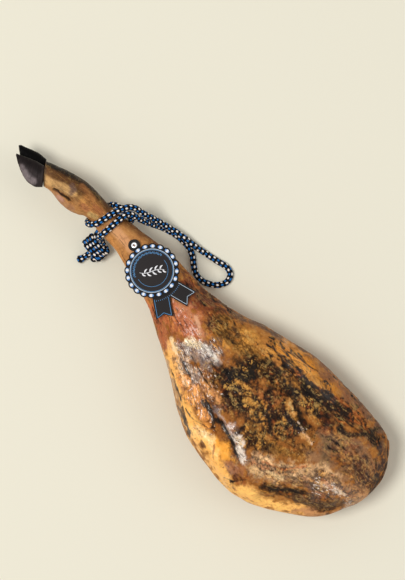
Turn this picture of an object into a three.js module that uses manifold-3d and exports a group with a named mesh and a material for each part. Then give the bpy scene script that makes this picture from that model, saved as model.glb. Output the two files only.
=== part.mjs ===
// A whole cured ham with its hoof, a doubled rope hitched round the shank and a die-cut card tag.
// Millimetres, +Z up. The ham lies on its side with the shown face up.
// +X runs from the hoof to the butt, and the origin is under the middle of the ham's box.
import * as THREE from 'three';
import { mergeVertices } from 'three/addons/utils/BufferGeometryUtils.js';
import Module from 'manifold-3d';

// Driving dimensions of the ham
const SHANK_AXIS_HEIGHT = 65.5;
const RING_POINTS_ABOVE = 28;
const RING_POINTS_BELOW = 14;
const FOOT_STEP = 6.5;
const SHANK_STEP = 11;
const BODY_STEP = 9;
const BUTT_STEP = 7;
const FOOT_END = -235;
const SHANK_END = -30;
const BUTT_START = 350;

// Sections of the ham from the coronet to the butt: x and y of the middle, the turn of the section
// from square to X in degrees, half width, top height, base height, and how square the section is.
const SECTIONS = [
  [-333, 5, 41, 20.5, 88, 43, 2.1],
  [-318.6, 10.4, 31, 20.8, 89, 42, 2.1],
  [-295.5, 13.5, 28, 25.7, 92, 40, 2.1],
  [-276.7, 17.3, 24.6, 27.3, 92, 40, 2.1],
  [-259.4, 22.5, 21.4, 24.8, 90, 41, 2.1],
  [-243.9, 26.1, 14, 20.6, 88, 43, 2],
  [-229.6, 26.7, 4, 19.4, 87, 44, 2],
  [-207.2, 26.5, 0, 21.2, 87, 44, 2],
  [-172, 29.5, 0, 24.1, 88, 42, 2],
  [-140, 29.1, 0, 30.4, 91, 39, 2],
  [-101.6, 27.7, 0, 37.6, 95, 35, 2],
  [-63.2, 22.9, 0, 43.2, 101, 29, 2.03],
  [-24.8, 14.5, 0, 52.4, 108, 22, 2.06],
  [13.6, 8.3, 0, 64.3, 115, 14, 2.1],
  [52, 3.3, 0, 79.6, 122, 6, 2.12],
  [90.4, 0.1, 0, 98.8, 128, -0.5, 2.15],
  [132, -2.7, 0, 112.8, 132, -3.6, 2.18],
  [180, -0.4, 0, 122.8, 134, -4.4, 2.2],
  [228, -0.4, 0, 125.8, 132, -3.4, 2.2],
  [268, 4, 0, 122.2, 128, 0.5, 2.2],
  [300, 12, 0, 113.1, 122, 5, 2.18],
  [332, 21.8, 0, 100.4, 114, 12, 2.15],
  [356, 27.7, 0, 88, 105, 21, 2.12],
  [373.6, 30.1, 0, 68, 95, 32, 2.1],
  [386.4, 36.1, 0, 44.4, 84, 43, 2.05],
  [393.6, 36.5, 0, 25.6, 75, 53, 2],
  [395.9, 35.2, 0, 8, 68, 61, 2],
];

// Ridges and furrows of the shown face: a line seen from above, the half width of the fold across
// it, and how high it stands or how deep it sinks.
const FOLDS = [
  { line: [[2, -38], [65, -75], [131, -99], [198, -104], [261, -98]], width: 20, height: 6 },
  { line: [[27, -22], [79, -49], [132, -63], [182, -79], [239, -95]], width: 9, height: -5 },
  { line: [[113, -59], [153, -80]], width: 7, height: -5 },
  { line: [[101, -91], [127, -93], [153, -82]], width: 5, height: -3 },
  { line: [[68, -14], [84, -10]], width: 24, height: 4 },
  { line: [[131, -23], [152, -18]], width: 22, height: -5 },
  { line: [[180, 36], [248, 22], [287, 17]], width: 13, height: 5 },
  { line: [[112, 65], [173, 52], [233, 46], [290, 48]], width: 13, height: -5 },
  { line: [[118, 87], [195, 92], [273, 96]], width: 15, height: 4 },
  { line: [[26, 42], [80, 58], [112, 65]], width: 9, height: -4 },
  { line: [[-71, 66], [-31, 62], [-1, 65]], width: 9, height: -4 },
  { line: [[-39, -18], [8, -43]], width: 6, height: -3 },
  { line: [[-35, 1], [15, -24]], width: 6, height: 3 },
  { line: [[247, -87], [310, -36], [367, 9]], width: 10, height: 4 },
  { line: [[281, -93], [314, -73], [347, -50], [373, -19]], width: 9, height: -6 },
  { line: [[312, 119], [344, 106], [367, 89], [387, 64]], width: 7, height: -5 },
  { line: [[344, 41], [350, 30]], width: 26, height: -5 },
  { line: [[297, -3], [270, -20]], width: 24, height: 4 },
  { line: [[-304, 0], [-287, 4], [-270, 6]], width: 3.5, height: -5 },
  { line: [[-322, 6], [-305, 12]], width: 4, height: -3 },
];
// The folds start this far up from the waist to the top, and are whole from the second value on.
const FOLDS_FROM = 0.15;
const FOLDS_WHOLE = 0.6;
const FULL_RELIEF_HALF_WIDTH = 20;
// Broad lumps a millimetre high: their lengths along x and y
const LUMPS = { x: 23, y: 17, leanY: 31, leanX: 41 };

// Driving dimensions of the claws
const CORONET_GAP = 0.5;
const CLAW_HEIGHT_NEAR = 78;
const CLAW_HEIGHT_FAR = 52;
const CLAW_RING_POINTS = 20;
const CLAW_SQUARENESS = { side: 0.9, rise: 0.85 };
const CLAW_STEP = 6;

// Sections of each claw from the coronet to the tip: x, y, turn in degrees, half width, half height.
const NEAR_CLAW = [
  [-330.1, 0.9, 41, 17.2, 11.5],
  [-341, -5.4, 38, 19.8, 12.4],
  [-354, -8.2, 25, 16.7, 11.6],
  [-366, -8.2, 20, 11.7, 9.4],
  [-377, -8, 23, 6.3, 6.2],
  [-385.4, -6.9, 30, 1.6, 2.2],
];
const FAR_CLAW = [
  [-338.1, 10.1, 41, 16.8, 10.8],
  [-351.7, 5.7, 36, 19, 12.2],
  [-366.4, 2.7, 28, 16.3, 11.4],
  [-379.9, 1.8, 31, 11.7, 8.8],
  [-388.3, 2, 45, 8.5, 6],
  [-391.2, 2.2, 54, 5.6, 3.4],
];

// Driving dimensions of the rope
const ROPE_DIAMETER = 10.4;
const ROPE_SIDES = 8;
const JOINT_GAP = 0.3;
const SPEED_PROBE = 0.001;
const LOOP_STEPS = 34;
const UPPER_STEPS = 36;
const LOWER_STEPS = 14;

// The free run and its loop, from where the lower strand leaves the hitch to where the upper one
// comes back to it. It comes down on the surface that the ham lies on, and the upper strand rides
// over the lower one in a long low hump.
const LOOP_ROUTE = [
  [-184.5, 64, 74], [-175, 67, 61.5], [-166, 71, 46.5], [-157.5, 75.5, 31.8],
  [-149, 81, 19.5], [-139, 85.5, 10.6], [-127.5, 89.5, 6.4], [-116.5, 92.5, 5.3],
  [-105.5, 93.5, 5.3], [-94.5, 93.5, 5.3], [-83, 91, 5.3], [-73, 86, 5.3],
  [-64, 79.5, 5.3], [-54, 73.5, 5.3], [-44, 71.5, 5.3], [-34, 73, 5.3],
  [-24.5, 77.5, 5.3], [-17, 83, 5.3], [-11, 90.5, 5.3], [-8, 99, 5.3],
  [-9, 107.5, 5.3], [-14.5, 114, 5.3], [-22.5, 116.5, 5.3], [-31.5, 115.5, 5.3],
  [-41.5, 112.5, 5.3], [-53.5, 109.5, 5.3], [-66, 106.5, 6], [-78.5, 103.5, 8.8],
  [-91.5, 101, 12.8], [-104.5, 99, 15.7], [-117.5, 96.5, 17.4], [-129.5, 93.5, 19.8],
  [-141.5, 90, 25.8], [-153, 86.5, 35.2], [-164, 82.5, 46.4], [-175, 78.5, 58.4],
  [-184.5, 75.5, 68.2], [-192.5, 73.5, 75],
];

// The upper strand: across the shank, under it, up its far side beneath both strands, under it
// again, and into the knot.
const UPPER_ROUTE = [
  [-192.5, 73.5, 75], [-197.5, 70.5, 79.7], [-202, 66, 83.5], [-205.5, 60, 86.5],
  [-208, 53.5, 89], [-210, 46, 91.5], [-212, 38, 93], [-213, 30.5, 93.7],
  [-214.5, 23, 93.6], [-216, 14.5, 91.2], [-219.5, 7.5, 85.6], [-224, 2.5, 76.5],
  [-228.5, 1.5, 64.5], [-231.5, 5, 49.5], [-231.5, 13.5, 40.6], [-230.5, 23, 37.6],
  [-229.5, 32, 37.6], [-228, 41, 40.5], [-225.5, 48, 48], [-222, 51.5, 57],
  [-217, 54, 64.5], [-210.5, 56, 68.5], [-202, 57, 69.5], [-194, 58, 67.5],
  [-187, 57.5, 61], [-184.5, 55, 51.5], [-186, 50.5, 43], [-190.5, 44, 38.2],
  [-195.5, 36, 37.2], [-200.5, 27.5, 37], [-204.5, 18.5, 37], [-207, 11, 37.3],
  [-208, 4.5, 37.8], [-207, 0.5, 37], [-204.5, -2.5, 35], [-202, -4, 32.5],
];

// The lower strand: across the shank and down its side into the knot.
const LOWER_ROUTE = [
  [-184.5, 64, 74], [-191, 61.5, 80.8], [-195, 56.5, 85.5], [-196.5, 49, 89.8],
  [-197, 40, 92.6], [-197.5, 31, 93.6], [-197.5, 22, 93.2], [-198, 13.5, 90.6],
  [-198.5, 6, 85], [-199, 1, 76.5], [-199.5, -1.5, 66], [-198.5, -2, 56],
  [-196, -2.5, 47], [-192.5, -2.5, 39], [-189.5, -3, 33.5],
];

// The knot: turns side by side on an axis that slopes down to the surface, wide enough for the two
// strands inside them. Both strands end beyond it, one short and one long.
const KNOT_START = [-193.5, -6.2, 26.2];
const KNOT_END = [-193.5, -26.9, 16.5];
const KNOT_TURNS = 3;
const KNOT_CORE = 7.8;
const KNOT_WIDENING = 1.74;
const KNOT_SIDES = 20;
const KNOT_ARC_POINTS = 5;
const KNOT_BULGE_DEGREES = 70;
const LONG_TAIL = [[-193, -22, 17.5], [-193.5, -33, 12], [-195.5, -43.5, 8.3], [-198.5, -53, 6.6]];
const SHORT_TAIL = [[-186, -21, 18.5], [-183, -29, 15], [-181, -36, 11.5]];
const TAIL_STEPS = 6;

// Driving dimensions of the tag, a flat card that lies on the shank
const CARD_THICKNESS = 1.2;
const CARD_MIDDLE = [-102, 24.8];
const CARD_HEADING = -8;
const CARD_HEIGHT = 98.2;
const CARD_TILT = 8.6;
const DISC_RADIUS = 41.8;
const SCALLOPS = 20;
const SCALLOP_DEPTH = 2.4;
const SCALLOP_POINTS = 6;
const TAB_OFFSET = 50;
const TAB_RADIUS = 9.6;
const TAIL_WIDTH = 28;
const TAIL_REACH = 78.4;
const TAIL_NOTCH = 6;
const TAIL_SPREAD = 24.7;
const TAIL_INSET = 7.2;
const EYELET_HOLE = 3.3;
const EYELET_BARREL = 3;
const EYELET_BORE = 1.5;
const EYELET_FLANGE = 4.8;
const EYELET_FLANGE_THICKNESS = 0.7;
const EYELET_CHAMFER = 0.6;
const EYELET_SIDES = 24;
const HOLE_SIDES = 16;
const TAB_POINTS = 20;
const WELD_DISTANCE = 1e-4;

const radians = THREE.MathUtils.degToRad;

// Slopes for a smooth curve through a row of values that never overshoots them.
function slopes(knots, values) {
  const rises = values.slice(1).map((value, i) => (value - values[i]) / (knots[i + 1] - knots[i]));
  return values.map((_, i) => {
    if (i === 0) return rises[0];
    if (i === values.length - 1) return rises[i - 1];
    const product = rises[i - 1] * rises[i];
    return product <= 0 ? 0 : 2 * product / (rises[i - 1] + rises[i]);
  });
}

// A smooth row of sections: calling it with a distance along the row gives that section's values.
function smoothRow(sections) {
  const knots = [0];
  for (let i = 1; i < sections.length; i++) {
    const [a, b] = [sections[i - 1], sections[i]];
    knots.push(knots[i - 1] + Math.hypot(b[0] - a[0], b[1] - a[1], b[3] - a[3]));
  }
  const columns = sections[0].map((_, c) => sections.map((section) => section[c]));
  const tangents = columns.map((values) => slopes(knots, values));
  const at = (distance) => {
    let i = knots.findIndex((knot) => knot > distance) - 1;
    if (i < 0) i = sections.length - 2;
    const span = knots[i + 1] - knots[i];
    const t = (distance - knots[i]) / span;
    return columns.map((values, c) => (
      values[i] * (1 + 2 * t) * (1 - t) ** 2 + tangents[c][i] * span * t * (1 - t) ** 2
      + values[i + 1] * t * t * (3 - 2 * t) + tangents[c][i + 1] * span * t * t * (t - 1)
    ));
  };
  return { knots, at };
}

// Distances along a row, every section included, with the step that stepAt gives for each stretch.
function stopsAlong(row, stepAt) {
  const stops = [];
  for (let i = 1; i < row.knots.length; i++) {
    const span = row.knots[i] - row.knots[i - 1];
    const count = Math.max(1, Math.round(span / stepAt(row.at(row.knots[i - 1])[0])));
    for (let k = 0; k < count; k++) stops.push(row.knots[i - 1] + span * k / count);
  }
  stops.push(row.knots.at(-1));
  return stops;
}

// A closed body from rings of points: quads between the rings and a fan over each end.
function skin(rings) {
  const around = rings[0].length;
  const middle = (ring) => ring.reduce((sum, p) => sum.add(p), new THREE.Vector3()).divideScalar(around);
  const points = [...rings.flat(), middle(rings[0]), middle(rings.at(-1))];
  const first = rings.length * around;
  const index = [];
  rings.slice(1).forEach((_, r) => {
    for (let k = 0; k < around; k++) {
      const next = (k + 1) % around;
      const [a, b] = [r * around + k, r * around + next];
      index.push(a, b, a + around, b, b + around, a + around);
    }
  });
  for (let k = 0; k < around; k++) {
    const next = (k + 1) % around;
    index.push(first, next, k);
    index.push(first + 1, first - around + k, first - around + next);
  }
  const geometry = new THREE.BufferGeometry().setFromPoints(points);
  geometry.setIndex(index);
  return geometry;
}

// Angles round a section, closer together over the shown face.
function ringAngles(above, below) {
  const upper = Array.from({ length: above }, (_, k) => Math.PI * k / above);
  const lower = Array.from({ length: below }, (_, k) => Math.PI * (1 + k / below));
  return [...upper, ...lower];
}

function distanceToLine(x, y, line) {
  let nearest = Infinity;
  for (let i = 1; i < line.length; i++) {
    const [[ax, ay], [bx, by]] = [line[i - 1], line[i]];
    const [dx, dy] = [bx - ax, by - ay];
    const along = ((x - ax) * dx + (y - ay) * dy) / (dx * dx + dy * dy);
    const t = THREE.MathUtils.clamp(along, 0, 1);
    nearest = Math.min(nearest, Math.hypot(x - ax - t * dx, y - ay - t * dy));
  }
  return nearest;
}

// How far the skin of the shown face stands out at a place seen from above.
function relief(x, y) {
  const folds = FOLDS.reduce((sum, { line, width, height }) => (
    sum + height * Math.exp(-((distanceToLine(x, y, line) / width) ** 2))
  ), 0);
  const lumps = Math.sin(x / LUMPS.x + y / LUMPS.leanY) * Math.sin(y / LUMPS.y - x / LUMPS.leanX);
  return folds + lumps;
}

const power = (value, exponent) => Math.sign(value) * Math.abs(value) ** exponent;

// One ring of the ham's skin, with the folds on its upper side and the flat where it rests.
function hamRing([x, y, turn, half, top, base, square], angles) {
  const across = new THREE.Vector2(-Math.sin(radians(turn)), Math.cos(radians(turn)));
  const waist = SHANK_AXIS_HEIGHT;
  return angles.map((angle) => {
    const rise = power(Math.sin(angle), 2 / square);
    const side = power(Math.cos(angle), 2 / square);
    const height = rise > 0 ? top - waist : waist - base;
    const out = new THREE.Vector2(side / half, rise / height).normalize();
    const px = x + across.x * side * half;
    const py = y + across.y * side * half;
    const shown = THREE.MathUtils.smoothstep(rise, FOLDS_FROM, FOLDS_WHOLE);
    const swell = shown * relief(px, py) * Math.min(1, half / FULL_RELIEF_HALF_WIDTH);
    const z = waist + rise * height + out.y * swell;
    return new THREE.Vector3(px + across.x * out.x * swell, py + across.y * out.x * swell, Math.max(0, z));
  });
}

function hamStep(x) {
  if (x < FOOT_END) return FOOT_STEP;
  if (x < SHANK_END) return SHANK_STEP;
  return x < BUTT_START ? BODY_STEP : BUTT_STEP;
}

function ham() {
  const row = smoothRow(SECTIONS);
  const angles = ringAngles(RING_POINTS_ABOVE, RING_POINTS_BELOW);
  return skin(stopsAlong(row, hamStep).map((stop) => hamRing(row.at(stop), angles)));
}

// A claw: sections a little squarer than an ellipse, shrinking to its tip.
function claw(sections, height) {
  const row = smoothRow(sections);
  const angles = ringAngles(CLAW_RING_POINTS / 2, CLAW_RING_POINTS / 2);
  const coronet = radians(sections[0][2]);
  const shift = new THREE.Vector2(-Math.cos(coronet), -Math.sin(coronet)).multiplyScalar(CORONET_GAP);
  const rings = stopsAlong(row, () => CLAW_STEP).map((stop) => {
    const [x, y, turn, half, rise] = row.at(stop);
    const across = new THREE.Vector2(-Math.sin(radians(turn)), Math.cos(radians(turn)));
    return angles.map((angle) => {
      const side = power(Math.cos(angle), CLAW_SQUARENESS.side) * half;
      const z = height + power(Math.sin(angle), CLAW_SQUARENESS.rise) * rise;
      return new THREE.Vector3(x + shift.x + across.x * side, y + shift.y + across.y * side, z);
    });
  });
  return skin(rings.reverse());
}

const vectors = (route) => route.map((point) => new THREE.Vector3(...point));

function ropeSection() {
  const corners = Array.from({ length: ROPE_SIDES }, (_, k) => {
    const angle = 2 * Math.PI * k / ROPE_SIDES;
    return new THREE.Vector2(Math.cos(angle), Math.sin(angle)).multiplyScalar(ROPE_DIAMETER / 2);
  });
  return new THREE.Shape(corners);
}

function strand(path, steps) {
  return new THREE.ExtrudeGeometry(ropeSection(), { steps, extrudePath: path, bevelEnabled: false });
}

// The stretch of a longer path between two of the points that it runs through, cut back a little
// at both ends so that it stays clear of what it meets.
class Stretch extends THREE.Curve {
  constructor(path, from, to) {
    super();
    const spans = path.points.length - 1;
    const speed = (t) => path.getPoint(t).distanceTo(path.getPoint(t + SPEED_PROBE)) / SPEED_PROBE;
    this.path = path;
    this.start = from / spans + JOINT_GAP / speed(from / spans);
    this.end = to / spans - JOINT_GAP / speed(to / spans - SPEED_PROBE);
  }

  getPoint(t, target) {
    return this.path.getPoint(this.start + (this.end - this.start) * t, target);
  }
}

// The knot's outer form: a row of round bulges about its axis, stretched sideways.
function knotTurns() {
  const start = new THREE.Vector3(...KNOT_START);
  const axis = new THREE.Vector3(...KNOT_END).sub(start);
  const pitch = axis.length() / KNOT_TURNS;
  const profile = [new THREE.Vector2(0, 0)];
  for (let turn = 0; turn < KNOT_TURNS; turn++) {
    for (let k = 0; k < KNOT_ARC_POINTS; k++) {
      const bulge = radians(KNOT_BULGE_DEGREES * (2 * k / (KNOT_ARC_POINTS - 1) - 1));
      const out = KNOT_CORE + Math.cos(bulge) * ROPE_DIAMETER / 2;
      profile.push(new THREE.Vector2(out, pitch * (turn + 0.5) + Math.sin(bulge) * pitch / 2));
    }
  }
  profile.push(new THREE.Vector2(0, axis.length()));
  const side = new THREE.Vector3(-axis.y, axis.x, 0).negate().normalize();
  const along = axis.clone().normalize();
  const up = new THREE.Vector3().crossVectors(side, along);
  const geometry = new THREE.LatheGeometry(profile, KNOT_SIDES).scale(KNOT_WIDENING, 1, 1);
  geometry.applyMatrix4(new THREE.Matrix4().makeBasis(side, along, up));
  return geometry.translate(start.x, start.y, start.z);
}

// The card's outline before it is laid on the shank: its length runs along +X from the tab.
function scallopedDisc() {
  const count = SCALLOPS * SCALLOP_POINTS;
  const shape = new THREE.Shape();
  for (let k = 0; k < count; k++) {
    const angle = 2 * Math.PI * k / count;
    const out = DISC_RADIUS + SCALLOP_DEPTH * Math.abs(Math.cos(angle * SCALLOPS / 2));
    if (k) shape.lineTo(out * Math.cos(angle), out * Math.sin(angle));
    else shape.moveTo(out * Math.cos(angle), out * Math.sin(angle));
  }
  shape.closePath();
  return shape;
}

function tabShape() {
  const shape = new THREE.Shape();
  shape.absarc(-TAB_OFFSET, 0, TAB_RADIUS, 0, 2 * Math.PI);
  return shape;
}

// One ribbon tail with a notched end; side is 1 or -1.
function tailShape(side) {
  const turn = side * radians(TAIL_SPREAD);
  const along = new THREE.Vector2(Math.cos(turn), Math.sin(turn));
  const across = new THREE.Vector2(-along.y, along.x);
  const corner = (reach, sideways) => (
    along.clone().multiplyScalar(reach).addScaledVector(across, sideways - side * TAIL_INSET)
  );
  return new THREE.Shape([
    corner(DISC_RADIUS / 2, -TAIL_WIDTH / 2),
    corner(TAIL_REACH, -TAIL_WIDTH / 2),
    corner(TAIL_REACH - TAIL_NOTCH, 0),
    corner(TAIL_REACH, TAIL_WIDTH / 2),
    corner(DISC_RADIUS / 2, TAIL_WIDTH / 2),
  ]);
}

// Joining and cutting
const wasm = await Module();
wasm.setup();

function solid(geometry) {
  const bare = geometry.clone();
  bare.deleteAttribute('normal');
  bare.deleteAttribute('uv');
  const merged = mergeVertices(bare, WELD_DISTANCE);
  return new wasm.Manifold(new wasm.Mesh({
    numProp: 3,
    vertProperties: new Float32Array(merged.attributes.position.array),
    triVerts: new Uint32Array(merged.index.array),
  }));
}

function geometryOf(manifold) {
  const mesh = manifold.getMesh();
  const geometry = new THREE.BufferGeometry();
  geometry.setAttribute('position', new THREE.BufferAttribute(mesh.vertProperties, 3));
  geometry.setIndex(new THREE.BufferAttribute(mesh.triVerts, 1));
  return geometry;
}

function card() {
  const flat = { depth: CARD_THICKNESS, bevelEnabled: false, curveSegments: TAB_POINTS };
  const pieces = [scallopedDisc(), tabShape(), tailShape(1), tailShape(-1)]
    .map((shape) => solid(new THREE.ExtrudeGeometry(shape, flat)));
  const hole = new THREE.CylinderGeometry(EYELET_HOLE, EYELET_HOLE, 4 * CARD_THICKNESS, HOLE_SIDES);
  hole.rotateX(Math.PI / 2).translate(-TAB_OFFSET, 0, CARD_THICKNESS / 2);
  return geometryOf(pieces.reduce((all, piece) => all.add(piece)).subtract(solid(hole)));
}

// A flanged eyelet through the card's tab, with its flanges just clear of both faces.
function eyelet() {
  const low = -JOINT_GAP;
  const high = CARD_THICKNESS + JOINT_GAP;
  const profile = [
    [EYELET_BORE, low - EYELET_FLANGE_THICKNESS], [EYELET_FLANGE, low - EYELET_FLANGE_THICKNESS],
    [EYELET_FLANGE, low], [EYELET_BARREL, low], [EYELET_BARREL, high], [EYELET_FLANGE, high],
    [EYELET_FLANGE - EYELET_CHAMFER, high + EYELET_FLANGE_THICKNESS],
    [EYELET_BORE, high + EYELET_FLANGE_THICKNESS], [EYELET_BORE, low - EYELET_FLANGE_THICKNESS],
  ].map(([out, up]) => new THREE.Vector2(out, up));
  const turned = new THREE.LatheGeometry(profile, EYELET_SIDES);
  return turned.rotateX(Math.PI / 2).translate(-TAB_OFFSET, 0, 0);
}

function piece(name, geometry, color, roughness, metalness) {
  const material = new THREE.MeshStandardMaterial({ color, roughness, metalness });
  const mesh = new THREE.Mesh(geometry, material);
  mesh.name = name;
  return mesh;
}

const RIND = [0xb07838, 0.45, 0];
const HORN = [0x1b1817, 0.5, 0];
const ROPE = [0x1e2026, 0.8, 0];
const CARD = [0x373232, 0.6, 0];
const METAL = [0xe8e8ea, 0.3, 1];

// The whole rope is one line: from the knot over the lower strand and the loop, and back to it.
function ropePieces() {
  const route = [...LOWER_ROUTE.toReversed(), ...LOOP_ROUTE.slice(1), ...UPPER_ROUTE.slice(1)];
  const path = new THREE.CatmullRomCurve3(vectors(route));
  const out = LOWER_ROUTE.length - 1;
  const back = out + LOOP_ROUTE.length - 1;
  const tails = [LONG_TAIL, SHORT_TAIL]
    .map((points) => solid(strand(new THREE.CatmullRomCurve3(vectors(points)), TAIL_STEPS)));
  return [
    piece('rope_lower', strand(new Stretch(path, 0, out), LOWER_STEPS), ...ROPE),
    piece('rope_loop', strand(new Stretch(path, out, back), LOOP_STEPS), ...ROPE),
    piece('rope_upper', strand(new Stretch(path, back, route.length - 1), UPPER_STEPS), ...ROPE),
    piece('rope_knot', geometryOf(tails.reduce((all, tail) => all.add(tail), solid(knotTurns()))), ...ROPE),
  ];
}

function tag() {
  const group = new THREE.Group();
  group.position.set(CARD_MIDDLE[0], CARD_MIDDLE[1], CARD_HEIGHT);
  group.rotation.set(0, -radians(CARD_TILT), radians(CARD_HEADING), 'ZYX');
  group.add(piece('tag_card', card(), ...CARD), piece('tag_eyelet', eyelet(), ...METAL));
  return group;
}

const whole = new THREE.Group();
whole.add(piece('ham', ham(), ...RIND));
whole.add(piece('claw_near', claw(NEAR_CLAW, CLAW_HEIGHT_NEAR), ...HORN));
whole.add(piece('claw_far', claw(FAR_CLAW, CLAW_HEIGHT_FAR), ...HORN));
whole.add(...ropePieces());
whole.add(tag());

export default whole;
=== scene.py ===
"""The looks of a whole cured ham with its rope and card tag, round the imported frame."""
import math

import bpy
import numpy as np
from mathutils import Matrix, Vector
from mathutils.geometry import delaunay_2d_cdt


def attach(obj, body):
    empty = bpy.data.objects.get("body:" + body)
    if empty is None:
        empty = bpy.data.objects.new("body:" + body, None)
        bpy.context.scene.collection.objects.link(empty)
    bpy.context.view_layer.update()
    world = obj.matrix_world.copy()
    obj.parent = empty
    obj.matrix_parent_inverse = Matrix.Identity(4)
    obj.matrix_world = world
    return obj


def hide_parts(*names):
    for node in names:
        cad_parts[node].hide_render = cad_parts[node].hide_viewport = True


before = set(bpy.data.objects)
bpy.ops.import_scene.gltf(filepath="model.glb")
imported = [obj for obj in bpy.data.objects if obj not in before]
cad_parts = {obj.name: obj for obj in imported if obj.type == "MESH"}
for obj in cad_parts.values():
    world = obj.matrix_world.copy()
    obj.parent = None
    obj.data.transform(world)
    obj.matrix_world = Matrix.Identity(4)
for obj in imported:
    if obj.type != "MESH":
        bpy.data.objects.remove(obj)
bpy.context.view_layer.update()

MM = 0.001

# Driving dimensions of the ham in millimetres, as in the CAD part
SHANK_AXIS_HEIGHT = 65.5
SECTIONS = np.array([
    [-333, 5, 41, 20.5, 88, 43, 2.1],
    [-318.6, 10.4, 31, 20.8, 89, 42, 2.1],
    [-295.5, 13.5, 28, 25.7, 92, 40, 2.1],
    [-276.7, 17.3, 24.6, 27.3, 92, 40, 2.1],
    [-259.4, 22.5, 21.4, 24.8, 90, 41, 2.1],
    [-243.9, 26.1, 14, 20.6, 88, 43, 2],
    [-229.6, 26.7, 4, 19.4, 87, 44, 2],
    [-207.2, 26.5, 0, 21.2, 87, 44, 2],
    [-172, 29.5, 0, 24.1, 88, 42, 2],
    [-140, 29.1, 0, 30.4, 91, 39, 2],
    [-101.6, 27.7, 0, 37.6, 95, 35, 2],
    [-63.2, 22.9, 0, 43.2, 101, 29, 2.03],
    [-24.8, 14.5, 0, 52.4, 108, 22, 2.06],
    [13.6, 8.3, 0, 64.3, 115, 14, 2.1],
    [52, 3.3, 0, 79.6, 122, 6, 2.12],
    [90.4, 0.1, 0, 98.8, 128, -0.5, 2.15],
    [132, -2.7, 0, 112.8, 132, -3.6, 2.18],
    [180, -0.4, 0, 122.8, 134, -4.4, 2.2],
    [228, -0.4, 0, 125.8, 132, -3.4, 2.2],
    [268, 4, 0, 122.2, 128, 0.5, 2.2],
    [300, 12, 0, 113.1, 122, 5, 2.18],
    [332, 21.8, 0, 100.4, 114, 12, 2.15],
    [356, 27.7, 0, 88, 105, 21, 2.12],
    [373.6, 30.1, 0, 68, 95, 32, 2.1],
    [386.4, 36.1, 0, 44.4, 84, 43, 2.05],
    [393.6, 36.5, 0, 25.6, 75, 53, 2],
    [395.9, 35.2, 0, 8, 68, 61, 2],
])
# Ridges and furrows: a line from above, the fold's half width and its height
FOLDS = [
    ([(2, -38), (65, -75), (131, -99), (198, -104), (261, -98)], 20, 6),
    ([(27, -22), (79, -49), (132, -63), (182, -79), (239, -95)], 9, -5),
    ([(113, -59), (153, -80)], 7, -5),
    ([(101, -91), (127, -93), (153, -82)], 5, -3),
    ([(68, -14), (84, -10)], 24, 4),
    ([(131, -23), (152, -18)], 22, -5),
    ([(180, 36), (248, 22), (287, 17)], 13, 5),
    ([(112, 65), (173, 52), (233, 46), (290, 48)], 13, -5),
    ([(118, 87), (195, 92), (273, 96)], 15, 4),
    ([(26, 42), (80, 58), (112, 65)], 9, -4),
    ([(-71, 66), (-31, 62), (-1, 65)], 9, -4),
    ([(-39, -18), (8, -43)], 6, -3),
    ([(-35, 1), (15, -24)], 6, 3),
    ([(247, -87), (310, -36), (367, 9)], 10, 4),
    ([(281, -93), (314, -73), (347, -50), (373, -19)], 9, -6),
    ([(312, 119), (344, 106), (367, 89), (387, 64)], 7, -5),
    ([(344, 41), (350, 30)], 26, -5),
    ([(297, -3), (270, -20)], 24, 4),
    ([(-304, 0), (-287, 4), (-270, 6)], 3.5, -5),
    ([(-322, 6), (-305, 12)], 4, -3),
]
# The folds start this far up from the waist to the top, and are whole from the second value on
FOLDS_FROM = 0.15
FOLDS_WHOLE = 0.6
FULL_RELIEF_HALF_WIDTH = 20
# Broad lumps a millimetre high: their lengths along x and y
LUMPS = {"x": 23, "y": 17, "lean_y": 31, "lean_x": 41}

# The finer skin that only the scene has: where it is kept low under the card, and its mesh
UNDER_CARD_OFFSET = 10
UNDER_CARD_TO = (72, 88)
UNDER_CARD_SINK = 0.3
HAM_RINGS = 430
RING_POINTS_ABOVE = 176
RING_POINTS_BELOW = 46

# Where the photograph's pixels lie in the frame: the ham's length runs down to the right
PHOTO_TURN = math.radians(47)
PHOTO_MM = 1.6
PHOTO_ALONG = 365.82
PHOTO_ACROSS = 88.8
PHOTO_MIDDLE = (202.5, 290)
PHOTO_TALL = 580
CAMERA_DISTANCE = 4.0

# Driving dimensions of the claws, as in the CAD part
CORONET_GAP = 0.5
CLAW_HEIGHT_NEAR = 78
CLAW_HEIGHT_FAR = 52
CLAW_SQUARENESS = {"side": 0.9, "rise": 0.85}
NEAR_CLAW = np.array([
    [-330.1, 0.9, 41, 17.2, 11.5],
    [-341, -5.4, 38, 19.8, 12.4],
    [-354, -8.2, 25, 16.7, 11.6],
    [-366, -8.2, 20, 11.7, 9.4],
    [-377, -8, 23, 6.3, 6.2],
    [-385.4, -6.9, 30, 1.6, 2.2],
])
FAR_CLAW = np.array([
    [-338.1, 10.1, 41, 16.8, 10.8],
    [-351.7, 5.7, 36, 19, 12.2],
    [-366.4, 2.7, 28, 16.3, 11.4],
    [-379.9, 1.8, 31, 11.7, 8.8],
    [-388.3, 2, 45, 8.5, 6],
    [-391.2, 2.2, 54, 5.6, 3.4],
])
# How finely a claw's mesh is divided
CLAW_RINGS = 110
CLAW_AROUND = 84

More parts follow.
